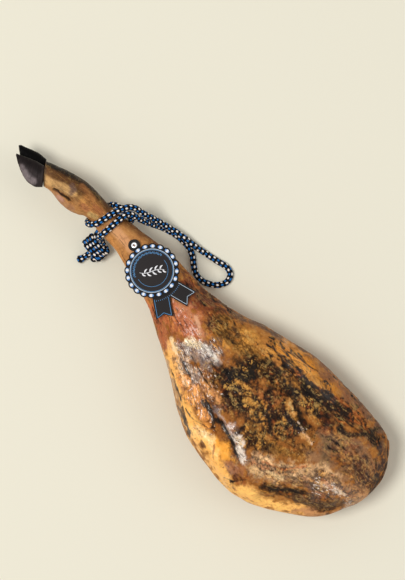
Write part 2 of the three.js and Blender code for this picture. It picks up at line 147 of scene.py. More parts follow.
# Driving dimensions of the rope and its route, as in the CAD part
ROPE_DIAMETER = 10.4
LOOP_ROUTE = [
    (-184.5, 64, 74), (-175, 67, 61.5), (-166, 71, 46.5), (-157.5, 75.5, 31.8),
    (-149, 81, 19.5), (-139, 85.5, 10.6), (-127.5, 89.5, 6.4), (-116.5, 92.5, 5.3),
    (-105.5, 93.5, 5.3), (-94.5, 93.5, 5.3), (-83, 91, 5.3), (-73, 86, 5.3),
    (-64, 79.5, 5.3), (-54, 73.5, 5.3), (-44, 71.5, 5.3), (-34, 73, 5.3),
    (-24.5, 77.5, 5.3), (-17, 83, 5.3), (-11, 90.5, 5.3), (-8, 99, 5.3),
    (-9, 107.5, 5.3), (-14.5, 114, 5.3), (-22.5, 116.5, 5.3), (-31.5, 115.5, 5.3),
    (-41.5, 112.5, 5.3), (-53.5, 109.5, 5.3), (-66, 106.5, 6), (-78.5, 103.5, 8.8),
    (-91.5, 101, 12.8), (-104.5, 99, 15.7), (-117.5, 96.5, 17.4), (-129.5, 93.5, 19.8),
    (-141.5, 90, 25.8), (-153, 86.5, 35.2), (-164, 82.5, 46.4), (-175, 78.5, 58.4),
    (-184.5, 75.5, 68.2), (-192.5, 73.5, 75),
]
UPPER_ROUTE = [
    (-192.5, 73.5, 75), (-197.5, 70.5, 79.7), (-202, 66, 83.5), (-205.5, 60, 86.5),
    (-208, 53.5, 89), (-210, 46, 91.5), (-212, 38, 93), (-213, 30.5, 93.7),
    (-214.5, 23, 93.6), (-216, 14.5, 91.2), (-219.5, 7.5, 85.6), (-224, 2.5, 76.5),
    (-228.5, 1.5, 64.5), (-231.5, 5, 49.5), (-231.5, 13.5, 40.6), (-230.5, 23, 37.6),
    (-229.5, 32, 37.6), (-228, 41, 40.5), (-225.5, 48, 48), (-222, 51.5, 57),
    (-217, 54, 64.5), (-210.5, 56, 68.5), (-202, 57, 69.5), (-194, 58, 67.5),
    (-187, 57.5, 61), (-184.5, 55, 51.5), (-186, 50.5, 43), (-190.5, 44, 38.2),
    (-195.5, 36, 37.2), (-200.5, 27.5, 37), (-204.5, 18.5, 37), (-207, 11, 37.3),
    (-208, 4.5, 37.8), (-207, 0.5, 37), (-204.5, -2.5, 35), (-202, -4, 32.5),
]
LOWER_ROUTE = [
    (-184.5, 64, 74), (-191, 61.5, 80.8), (-195, 56.5, 85.5), (-196.5, 49, 89.8),
    (-197, 40, 92.6), (-197.5, 31, 93.6), (-197.5, 22, 93.2), (-198, 13.5, 90.6),
    (-198.5, 6, 85), (-199, 1, 76.5), (-199.5, -1.5, 66), (-198.5, -2, 56),
    (-196, -2.5, 47), (-192.5, -2.5, 39), (-189.5, -3, 33.5),
]
KNOT_START = (-193.5, -6.2, 26.2)
KNOT_END = (-193.5, -26.9, 16.5)
KNOT_TURNS = 3
KNOT_CORE = 7.8
KNOT_WIDENING = 1.74

# What only the scene has of the rope: the knot's turns as a coil, and the tails from inside it on
KNOT_POINTS = 16
KNOT_EXTRA_POINTS = 3
KNOT_END_SHARE = 0.32
KNOT_TUCK = 0.72
LONG_TAIL = [
    (-201, -4, 31), (-196, -13, 22), (-193, -22, 17.5), (-193.5, -33, 12), (-195.5, -43.5, 8.3),
    (-198.5, -53, 6.9),
]
SHORT_TAIL = [(-189.5, -3, 33), (-188, -12, 23), (-186, -21, 18.5), (-183, -29, 15), (-181, -36, 11.5)]

# The braid: rows of flecks along the rope, white and blue in turn, with black stitches between
ROPE_ROWS = 6
FLECK_PITCH = 7.6
FLECK_LONG = 0.28
FLECK_WIDE = 0.33
ROPE_STEP = 0.76
ROPE_TWIST = 260
ROPE_AROUND = 42
BRAID_RISE = 0.55
END_ROUNDING = 2.2
FLARE = 0.35
FLARE_LENGTH = 11
ROPE_WHITE = (252, 244, 236)
ROPE_BLUE = (30, 112, 190)
ROPE_SHADE = (30, 36, 56)
ROPE_BLACK = (5, 5, 8)
ROPE_WORN = (30, 29, 35)
ROPE_CUT = (112, 134, 142)

# Driving dimensions of the tag, as in the CAD part
CARD_THICKNESS = 1.2
CARD_MIDDLE = (-102, 24.8)
CARD_HEADING = -8
CARD_HEIGHT = 98.2
CARD_TILT = 8.6
DISC_RADIUS = 41.8
SCALLOPS = 20
SCALLOP_DEPTH = 2.4
TAB_OFFSET = 50
TAB_RADIUS = 9.6
TAIL_WIDTH = 28
TAIL_REACH = 78.4
TAIL_NOTCH = 6
TAIL_SPREAD = 24.7
TAIL_INSET = 7.2
EYELET_HOLE = 3.3
EYELET_BARREL = 3
EYELET_BORE = 1.5
EYELET_FLANGE = 4.8

# The tag's finer form, which only the scene has
SCALLOP_POINTS = 14
TAB_POINTS = 72
HOLE_POINTS = 40
CARD_GRID = 2.6
CARD_BOW = 1.3
CARD_CURL = 1.2
EYELET_SIDES = 72
EYELET_PLAY = 0.3
EYELET_BACK = 0.7
EYELET_LIP = 0.75
EYELET_LIP_FOOT = 0.15
EYELET_LIP_POINTS = 9
INK_RISE = 0.12

# Colours of the tag out of 255
METAL_LIGHT = (236, 236, 240)
METAL_DARK = (214, 214, 220)
PAPER_DARK = (36, 32, 33)
PAPER_LIGHT = (43, 39, 39)
INK_WHITE = (238, 238, 242)
INK_PALE = (196, 214, 232)
INK_BLUE = (74, 136, 208)
INK_SKY = (84, 150, 206)
INK_WORN = (60, 60, 70)
# The black band round the card's disc: its colour, and the radii where it fades in and out
BAND_BLACK = (15, 13, 15)
BAND_FROM = (35.0, 35.8)
BAND_TO = (45.6, 46.4)

# The printed marks on the card and the widths of their lines, in millimetres
BEAD_RADIUS = 39.6
BEAD_HALF_LONG = 4.0
BEAD_HALF_WIDE = 2.5
BEAD_POINTS = 20
PALE_RING_RADIUS = 34.9
SKY_RING_RADIUS = 33.5
ARC_RADIUS = 25.6
ARC_DEGREES = (212, 402)
RING_LINE_POINTS = 181
ARC_LINE_POINTS = 90
MARK_RADII = ((27.2, 30.8), (28.0, 30.8), (27.2, 29.6))
MARK_DEGREES = (60, 200)
MARK_COUNT = 36
TAIL_MARGIN = 2.6
TAIL_LINE_FROM = 46.6
TAIL_CORNER = (1.0, 0.6)
TAIL_LINE_STEP = 0.125
STITCH_RADII = (48.4, 49.2, 50.0)
STITCH_DEGREES = 26
STITCH_COUNT = 15
WIDE_LINE = 0.9
THIN_LINE = 0.7
ARC_LINE = 0.55
MARK_LINE = 0.95
STEM_HALF_LENGTH = 20
STEM_RISE = 3.2
STEM_WAVE = 2.4
LEAF_COUNT = 9
LEAF_POINTS = 9
LEAF_LENGTH = 9.0
LEAF_LEAN = 48
LEAF_BEND = 1.3
LEAF_WIDTH = 2.1


# Small helpers
def linear(*srgb):
    """Linear RGBA from red, green and blue out of 255."""
    parts = [c / 255 for c in srgb]
    return [p / 12.92 if p <= 0.04045 else ((p + 0.055) / 1.055) ** 2.4 for p in parts] + [1.0]


def smooth(value, low, high):
    t = np.clip((value - low) / (high - low), 0, 1)
    return t * t * (3 - 2 * t)


def signed_power(value, exponent):
    return np.sign(value) * np.abs(value) ** exponent


def unit(vector):
    return np.asarray(vector, dtype=float) / np.linalg.norm(vector)


def hashed(ix, iy, iz, seed):
    """A repeatable random number from 0 to 1 for each lattice point."""
    n = (ix * 374761393 + iy * 668265263 + iz * 2147483647 + seed * 974634777) & 0xFFFFFFFF
    n = ((n ^ (n >> 13)) * 1274126177) & 0xFFFFFFFF
    n = ((n ^ (n >> 16)) * 2246822519) & 0xFFFFFFFF
    return ((n ^ (n >> 15)) & 0xFFFFFF) / 0xFFFFFF


def noise(points, size, seed):
    """Smooth noise from -1 to 1 with lumps of about this size."""
    p = points / size
    cell = np.floor(p).astype(np.int64)
    f = p - cell
    f = f * f * f * (f * (f * 6 - 15) + 10)
    total = 0
    for corner in range(8):
        step = np.array([corner & 1, corner >> 1 & 1, corner >> 2 & 1])
        weight = np.prod(np.where(step, f, 1 - f), axis=-1)
        i = cell + step
        total = total + weight * hashed(i[..., 0], i[..., 1], i[..., 2], seed)
    return 2 * total - 1


def layered(points, size, seed, layers=4, fade=0.5):
    total = 0
    for layer in range(layers):
        total = total + fade**layer * noise(points, size / 2**layer, seed + layer)
    return total


def ridged(points, size, seed, layers=3):
    total = 0
    for layer in range(layers):
        total = total + 0.5**layer * (1 - 2 * np.abs(noise(points, size / 2**layer, seed + layer)))
    return total


def cells(points, size, seed):
    """Lumps of about this size: how far inside its lump each place is, and the lump's own number."""
    p = points / size
    base = np.floor(p).astype(np.int64)
    first = np.full(p.shape[:-1], 9.0)
    second = first.copy()
    number = np.zeros(p.shape[:-1])
    for corner in range(27):
        i = base + np.array([corner % 3 - 1, corner // 3 % 3 - 1, corner // 9 - 1])
        off = [hashed(i[..., 0], i[..., 1], i[..., 2], seed + k) for k in range(3)]
        away = np.linalg.norm(i + np.stack(off, axis=-1) - p, axis=-1)
        number = np.where(away < first, hashed(i[..., 0], i[..., 1], i[..., 2], seed + 3), number)
        second = np.minimum(second, np.maximum(first, away))
        first = np.minimum(first, away)
    return second - first, number


def bent(points, size, reach, seed):
    """The points pushed about by noise, which breaks up whatever pattern is laid on them."""
    return points + reach * np.stack([layered(points, size, seed + 10 * k, 3) for k in range(3)], axis=-1)


def distance_to_line(x, y, line):
    nearest = np.full(x.shape, 1e9)
    for (ax, ay), (bx, by) in zip(line, line[1:]):
        dx, dy = bx - ax, by - ay
        t = np.clip(((x - ax) * dx + (y - ay) * dy) / (dx * dx + dy * dy), 0, 1)
        nearest = np.minimum(nearest, np.hypot(x - ax - t * dx, y - ay - t * dy))
    return nearest


def photo_to_frame(px, py):
    """The frame's x and y in millimetres of a pixel, at the height of the shank's axis."""
    c, s = math.cos(PHOTO_TURN), math.sin(PHOTO_TURN)
    return (px * c + py * s - PHOTO_ALONG) * PHOTO_MM, (px * s - py * c + PHOTO_ACROSS) * PHOTO_MM


def frame_to_photo(x, y, z):
    """The pixel that shows a place in the frame: what is higher is seen a little larger."""
    along, across = x / PHOTO_MM + PHOTO_ALONG, y / PHOTO_MM - PHOTO_ACROSS
    c, s = math.cos(PHOTO_TURN), math.sin(PHOTO_TURN)
    px, py = along * c + across * s, along * s - across * c
    far = CAMERA_DISTANCE / MM
    nearer = far / (far + SHANK_AXIS_HEIGHT - z)
    middle = PHOTO_MIDDLE
    return middle[0] + (px - middle[0]) * nearer, middle[1] + (py - middle[1]) * nearer


# Smooth rows of sections, the same curve as in the CAD part
def slopes(knots, values):
    rises = np.diff(values) / np.diff(knots)
    product = rises[:-1] * rises[1:]
    total = rises[:-1] + rises[1:]
    inner = np.where(product > 0, 2 * product / np.where(total == 0, 1, total), 0)
    return np.concatenate([[rises[0]], inner, [rises[-1]]])


class Row:
    def __init__(self, sections):
        steps = np.diff(sections[:, [0, 1, 3]], axis=0)
        self.knots = np.concatenate([[0], np.cumsum(np.linalg.norm(steps, axis=1))])
        self.values = sections
        self.tangents = np.stack([slopes(self.knots, c) for c in sections.T], axis=1)

    def at(self, distance):
        i = np.clip(np.searchsorted(self.knots, distance, side="right") - 1, 0, len(self.knots) - 2)
        span = (self.knots[i + 1] - self.knots[i])[:, None]
        t = (distance - self.knots[i])[:, None] / span
        return (
            self.values[i] * (1 + 2 * t) * (1 - t) ** 2
            + self.tangents[i] * span * t * (1 - t) ** 2
            + self.values[i + 1] * t * t * (3 - 2 * t)
            + self.tangents[i + 1] * span * t * t * (t - 1)
        )


# Meshes
def new_object(name, points, faces, body="root"):
    """A mesh object from points in millimetres, in the frame's metres, riding on its body."""
    mesh = bpy.data.meshes.new(name)
    mesh.from_pydata((np.asarray(points, dtype=float) * MM).tolist(), [], faces)
    mesh.validate()
    mesh.polygons.foreach_set("use_smooth", [True] * len(mesh.polygons))
    piece = bpy.data.objects.new(name, mesh)
    bpy.context.scene.collection.objects.link(piece)
    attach(piece, body)
    return piece


def tube_faces(rings, around, caps=True):
    """Quads between closed rings of points, with one face over each end."""
    r = np.arange(rings - 1)[:, None] * around
    k = np.arange(around)[None, :]
    nxt = (k + 1) % around
    quads = np.stack([r + k, r + nxt, r + around + nxt, r + around + k], axis=-1).reshape(-1, 4)
    faces = quads.tolist()
    if caps:
        faces.append(list(range(around))[::-1])
        faces.append([(rings - 1) * around + i for i in range(around)])
    return faces


def add_values(piece, name, values):
    layer = piece.data.attributes.new(name, "FLOAT", "POINT")
    layer.data.foreach_set("value", np.asarray(values, dtype=np.float32).ravel())


def add_vectors(piece, name, values):
    layer = piece.data.attributes.new(name, "FLOAT_VECTOR", "POINT")
    layer.data.foreach_set("vector", np.asarray(values, dtype=np.float32).ravel())


def add_colours(piece, name, values):
    layer = piece.data.attributes.new(name, "FLOAT_COLOR", "POINT")
    rgba = np.concatenate([values, np.ones(values.shape[:-1] + (1,))], axis=-1)
    layer.data.foreach_set("color", rgba.astype(np.float32).ravel())


# Materials
class Nodes:
    """Short calls for making a material's nodes."""

    def __init__(self, name):
        self.material = bpy.data.materials.new(name)
        self.material.use_nodes = True
        self.tree = self.material.node_tree
        self.shader = self.tree.nodes["Principled BSDF"]

    def node(self, kind, **settings):
        made = self.tree.nodes.new(kind)
        for key, value in settings.items():
            setattr(made, key, value)
        return made

    def put(self, socket, value):
        if isinstance(value, bpy.types.NodeSocket):
            self.tree.links.new(value, socket)
        else:
            socket.default_value = value

    def set(self, **values):
        for key, value in values.items():
            self.put(self.shader.inputs[key.replace("_", " ")], value)

    def value(self, name, output="Fac"):
        return self.node("ShaderNodeAttribute", attribute_name=name).outputs[output]

    def place(self):
        return self.node("ShaderNodeTexCoord").outputs["Object"]

    def scaled(self, vector, scale):
        made = self.node("ShaderNodeMapping")
        self.put(made.inputs["Vector"], vector)
        made.inputs["Scale"].default_value = scale
        return made.outputs[0]

    def noise(self, vector, scale, detail=3.0, rough=0.55, distortion=0.0):
        made = self.node("ShaderNodeTexNoise")
        self.put(made.inputs["Vector"], vector)
        made.inputs["Scale"].default_value = scale
        made.inputs["Detail"].default_value = detail
        made.inputs["Roughness"].default_value = rough
        made.inputs["Distortion"].default_value = distortion
        return made.outputs["Fac"]

    def math(self, operation, a, b=0.0):
        made = self.node("ShaderNodeMath", operation=operation)
        self.put(made.inputs[0], a)
        self.put(made.inputs[1], b)
        return made.outputs[0]

    def add(self, a, b):
        return self.math("ADD", a, b)

    def sub(self, a, b):
        return self.math("SUBTRACT", a, b)

    def mul(self, a, b):
        return self.math("MULTIPLY", a, b)

    def range(self, value, low, high, to_low=0.0, to_high=1.0):
        made = self.node("ShaderNodeMapRange", interpolation_type="SMOOTHSTEP")
        for key, item in zip(("Value", "From Min", "From Max", "To Min", "To Max"),
                             (value, low, high, to_low, to_high)):
            self.put(made.inputs[key], item)
        return made.outputs[0]

    def mix(self, factor, a, b, blend="MIX"):
        made = self.node("ShaderNodeMix", data_type="RGBA", blend_type=blend)
        self.put(made.inputs["Factor"], factor)
        self.put(made.inputs[6], a)
        self.put(made.inputs[7], b)
        return made.outputs[2]

    def over(self, colour, mask, amount, paint):
        """The colour with a paint over it where the mask is, by this amount."""
        return self.mix(self.mul(mask, amount), colour, linear(*paint))

    def bump(self, height, distance, strength):
        made = self.node("ShaderNodeBump")
        made.inputs["Strength"].default_value = strength
        made.inputs["Distance"].default_value = distance
        self.put(made.inputs["Height"], height)
        return made.outputs[0]

    def cut(self, texture, amount, high, low, soft):
        """Where a texture stands above a level that falls from high to low as the amount rises."""
        level = self.sub(high, self.mul(amount, high - low))
        return self.range(texture, level, self.add(level, soft))

    def lines(self, texture, amount, width):
        """Thin lines where a texture crosses its middle value, wider where the amount is high."""
        off = self.math("ABSOLUTE", self.sub(texture, 0.5))
        edge = self.mul(amount, width)
        near = self.range(off, self.mul(edge, 0.35), self.add(edge, 0.002), 1.0, 0.0)
        return self.mul(near, self.range(amount, 0.02, 0.25))


# The ham's form
def folds_at(x, y):
    total = np.sin(x / LUMPS["x"] + y / LUMPS["lean_y"]) * np.sin(y / LUMPS["y"] - x / LUMPS["lean_x"])
    for line, width, height in FOLDS:
        total = total + height * np.exp(-((distance_to_line(x, y, line) / width) ** 2))
    return total


def ham_grid():
    """The ham's skin as a grid of points, with what the painting needs at each."""
    row = Row(SECTIONS)
    stops = np.linspace(0, row.knots[-1], HAM_RINGS)
    x, y, turn, half, top, base, square = (c[:, None] for c in row.at(stops).T)
    above = np.pi * np.arange(RING_POINTS_ABOVE) / RING_POINTS_ABOVE
    below = np.pi * (1 + np.arange(RING_POINTS_BELOW) / RING_POINTS_BELOW)
    angle = np.concatenate([above, below])[None, :]
    rise = signed_power(np.sin(angle), 2 / square)
    side = signed_power(np.cos(angle), 2 / square)
    waist = SHANK_AXIS_HEIGHT
    height = np.where(rise > 0, top - waist, waist - base)
    length = np.hypot(side / half, rise / height)
    out_side, out_up = side / half / length, rise / height / length
    across = np.stack([-np.sin(np.radians(turn)), np.cos(np.radians(turn))], axis=-1)
    px = x + across[..., 0] * side * half
    py = y + across[..., 1] * side * half
    bare = np.stack([px, py, waist + rise * height], axis=-1)
    normal = np.stack([across[..., 0] * out_side, across[..., 1] * out_side, out_up], axis=-1)
    scale = np.minimum(1, half / FULL_RELIEF_HALF_WIDTH)
    lift = smooth(rise, FOLDS_FROM, FOLDS_WHOLE) * folds_at(px, py) * scale
    flow = np.stack(np.broadcast_arrays(stops[:, None], side * 110, (rise < 0) * 400.0), axis=-1)
    return dict(bare=bare, normal=normal, rise=rise, scale=scale, lift=lift, flow=flow)


def fine_relief(grid, paint):
    """Wrinkles, crust and streaks too fine for the CAD part, in millimetres."""
    p, flow = grid["bare"], grid["flow"]
    along = np.array([0.3, 1, 1])
    swell = 0.7 * layered(p, 34, 11, 2) + 0.3 * layered(p, 10, 17, 2)
    wrinkles = paint["wrinkle"] * (0.8 * (ridged(flow * along, 9, 23, 3) - 0.4) + 1.8 * (grid["fold"] - 0.6))
    crust = paint["crust"] * (0.8 * (ridged(p, 12, 31, 4) - 0.4) + 1.5 * (grid["lump"] - 0.6))
    streaks = -0.7 * grid["black_streak"]
    total = swell + wrinkles + crust + streaks - 1.6 * paint["crease"]
    # Nothing stands up under the card, as it would come through it
    from_card = np.hypot(p[..., 0] - CARD_MIDDLE[0] - UNDER_CARD_OFFSET, p[..., 1] - CARD_MIDDLE[1])
    under_card = 1 - smooth(from_card, *UNDER_CARD_TO)
    return total - under_card * (np.maximum(total, 0) + UNDER_CARD_SINK)


# The painting of the ham. Every stroke is a line in the photograph's pixels, its half width, and
# what it lays down there: a colour out of 255 and how much of it, or how much of a texture.
TONES = {
    "shank": ([(45, 175), (95, 205), (118, 240), (150, 290)], 40, (190, 132, 76), 1.0),
    "body": ([(185, 350), (245, 420), (330, 460)], 95, (152, 98, 42), 1.0),
    "foot face": ([(49, 178), (62, 185), (80, 198)], 9, (170, 122, 74), 0.9),
    "foot upper side": ([(47, 168), (58, 174), (68, 180), (78, 187), (88, 196), (98, 205)],
                        9, (92, 60, 33), 0.9),
    # Painted highlight on the foot's face
    "foot highlight": ([(46, 180), (55, 184), (65, 188), (73, 193)], 5, (228, 180, 118), 0.85),
    "foot edge": ([(47, 160), (58, 165), (70, 172), (81, 179), (90, 186), (99, 195), (108, 204)],
                  7.2, (34, 20, 11), 0.95),
    "foot ridge": ([(44, 159), (50, 164), (60, 169), (72, 175)], 3.6, (30, 21, 16), 0.95),
    "foot grey": ([(72, 186), (74, 190), (71, 193)], 3.6, (112, 90, 86), 0.75),
    "foot brown": ([(82, 186), (86, 190), (93, 198)], 3.4, (158, 102, 58), 0.7),
    "coronet skin": ([(44, 158), (45, 168), (44, 178), (43, 187)], 2, (74, 56, 44), 0.85),
    "foot slit wide": ([(61, 194), (66, 197), (69, 200)], 1.9, (40, 22, 14), 0.95),
    "foot slit light": ([(54, 186), (62, 190), (69, 194)], 1.6, (232, 186, 128), 0.6),
    "foot low flap": ([(55, 194), (59, 199), (65, 205), (72, 209)], 4, (176, 124, 86), 0.9),
    "foot flap pink": ([(58, 197), (62, 200)], 2.6, (198, 146, 126), 0.8),
    "foot slit": ([(53, 189), (57, 191), (62, 195), (67, 197)], 1.2, (58, 34, 20), 0.9),
    "ankle": ([(86, 202), (98, 210)], 9, (212, 144, 80), 0.8),
    "ankle pink": ([(83, 206), (88, 210)], 3.4, (196, 122, 86), 0.5),
    "ankle red": ([(95, 207), (101, 212)], 3.6, (178, 100, 68), 0.5),
    "ankle pale": ([(90, 214), (96, 217)], 3.2, (230, 188, 120), 0.9),
    # Painted shadow: the dark patch the rope casts beside the ankle
    "ankle rope shadow": ([(103, 203), (108, 210)], 3.6, (98, 62, 34), 0.85),
    "shank middle": ([(112, 226), (124, 240), (138, 256)], 6, (222, 162, 114), 0.8),
    # Painted light and shade: the shank's left side is painted lighter, and its right side and right edge
    # darker, as if lit from the left
    "shank lit side": ([(110, 240), (120, 262), (130, 284), (146, 305)], 5, (216, 146, 78), 0.75),
    "shank right shade": ([(118, 214), (132, 224), (152, 238), (192, 272), (214, 300)], 8, (114, 72, 38), 0.85),
    "shank right edge": ([(132, 218), (152, 232), (190, 266)], 2.5, (86, 58, 36), 0.7),
    "red muscle": ([(160, 312), (180, 316), (192, 332)], 17, (198, 116, 70), 0.95),
    "red left": ([(156, 316), (160, 332), (166, 350)], 6, (180, 108, 72), 0.8),
    "red right": ([(184, 284), (204, 303), (212, 312)], 9, (120, 62, 38), 0.9),
    "pink light": ([(182, 306), (195, 318), (201, 336)], 5, (186, 122, 80), 0.75),
    "dark muscle": ([(202, 292), (220, 305), (238, 314)], 8, (98, 62, 42), 0.9),
    "olive": ([(218, 324), (230, 332), (244, 346)], 14, (134, 96, 42), 0.95),
    "olive gold": ([(246, 338), (258, 346), (272, 356)], 12, (196, 140, 66), 0.95),
    "gold left": ([(210, 334), (218, 340), (228, 346)], 6, (206, 142, 58), 0.85),
    "red brown": ([(203, 304), (208, 316), (209, 328)], 5, (130, 74, 40), 0.85),
    # The rim along the right edge is partly the rind's own mauve and partly painted shade, on the side
    # turned from the light
    "mauve rim and shade": ([(238, 312), (262, 322), (300, 344), (345, 386), (378, 424)], 7, (116, 88, 68), 0.9),
    "rim shade": ([(262, 319), (300, 340), (345, 383), (376, 418)], 2.6, (92, 66, 50), 0.75),
    "gold strip": ([(284, 350), (306, 368), (334, 396)], 10, (206, 138, 48), 0.95),
    "gold strip light": ([(300, 372), (312, 384), (326, 394)], 5, (226, 166, 80), 0.7),
    "rim brown": ([(318, 362), (340, 386), (366, 414)], 5, (150, 102, 66), 0.7),
    "middle": ([(222, 392), (255, 408), (288, 426)], 26, (146, 98, 48), 0.9),
    "middle red": ([(236, 394), (262, 396), (276, 400)], 11, (172, 108, 56), 0.75),
    "dark top": ([(243, 362), (262, 364), (276, 372)], 9, (58, 42, 20), 0.95),
    "low middle": ([(246, 440), (270, 448), (302, 450)], 14, (150, 100, 40), 0.85),
    "low middle gold": ([(252, 430), (262, 442), (285, 450)], 6, (160, 116, 50), 0.6),
    "channel": ([(268, 364), (284, 386), (296, 408), (304, 428)], 8, (44, 31, 18), 0.95),
    "channel right": ([(302, 388), (312, 404), (330, 424)], 9, (78, 50, 26), 0.85),
    "black band": ([(300, 378), (320, 392), (350, 414)], 8, (34, 29, 26), 0.95),
    "band brown": ([(304, 396), (322, 410), (344, 424)], 10, (66, 42, 24), 0.8),
    "orange streaks": ([(322, 398), (344, 412), (364, 430)], 7, (182, 102, 42), 0.85),
    "right olive": ([(348, 420), (362, 430), (374, 440)], 8, (58, 46, 30), 0.85),
    "soft brown": ([(330, 442), (352, 450), (366, 470)], 17, (148, 114, 86), 0.9),
    "soft low": ([(308, 456), (328, 462), (350, 480)], 8, (152, 114, 80), 0.9),
    "soft dark": ([(362, 462), (368, 480), (360, 492)], 9, (100, 80, 70), 0.85),
    "grey haze": ([(320, 436), (330, 450), (326, 464)], 6, (128, 108, 78), 0.5),
    "grey crust": ([(258, 466), (290, 474), (330, 480)], 13, (240, 196, 152), 1.0),
    "low brown": ([(322, 484), (346, 492), (360, 498)], 12, (202, 152, 108), 0.9),
    # Painted shade in the crevice along the low edge
    "low crevice shade": ([(296, 500), (318, 506), (340, 504)], 4.5, (74, 56, 38), 0.75),
    "low rim": ([(214, 470), (236, 490), (268, 504), (300, 511)], 10, (250, 192, 116), 1.0),
    "low rim right": ([(300, 512), (330, 515), (358, 508)], 5, (194, 142, 96), 0.95),
    "low rim light": ([(236, 488), (262, 501), (286, 508)], 5, (252, 198, 118), 0.85),
    "fat strip": ([(172, 356), (180, 392), (198, 434), (224, 470)], 12, (246, 184, 98), 1.0),
    # Painted highlight on the fat
    "fat wide highlight": ([(200, 430), (208, 440), (216, 452)], 7, (255, 208, 140), 0.85),
    "fat gold": ([(216, 440), (222, 450), (228, 460)], 6, (250, 176, 72), 0.75),
    "fat upper": ([(171, 344), (177, 366), (183, 386)], 5, (240, 180, 112), 0.9),
    "fat brown": ([(228, 466), (238, 474), (240, 482)], 7, (162, 96, 48), 0.8),
    "left wrinkles": ([(188, 380), (200, 404), (208, 424)], 11, (248, 170, 88), 1.0),
    "wrinkle brown": ([(194, 370), (206, 384), (222, 400)], 8, (232, 166, 108), 0.85),
    "glare": ([(190, 349), (203, 353), (214, 358)], 10, (208, 191, 184), 0.9),
    "glare upper": ([(187, 340), (197, 345)], 5, (246, 214, 176), 0.9),
    "glare lower": ([(183, 356), (190, 368), (198, 378)], 6, (206, 182, 166), 0.85),
    "left edge": ([(166, 360), (173, 392), (182, 420)], 2.4, (150, 120, 96), 0.7),
    # Painted shade along the rim at the ham's end
    "end rim shade": ([(382, 440), (388, 458), (384, 480), (368, 500)], 3.5, (96, 74, 56), 0.8),
}
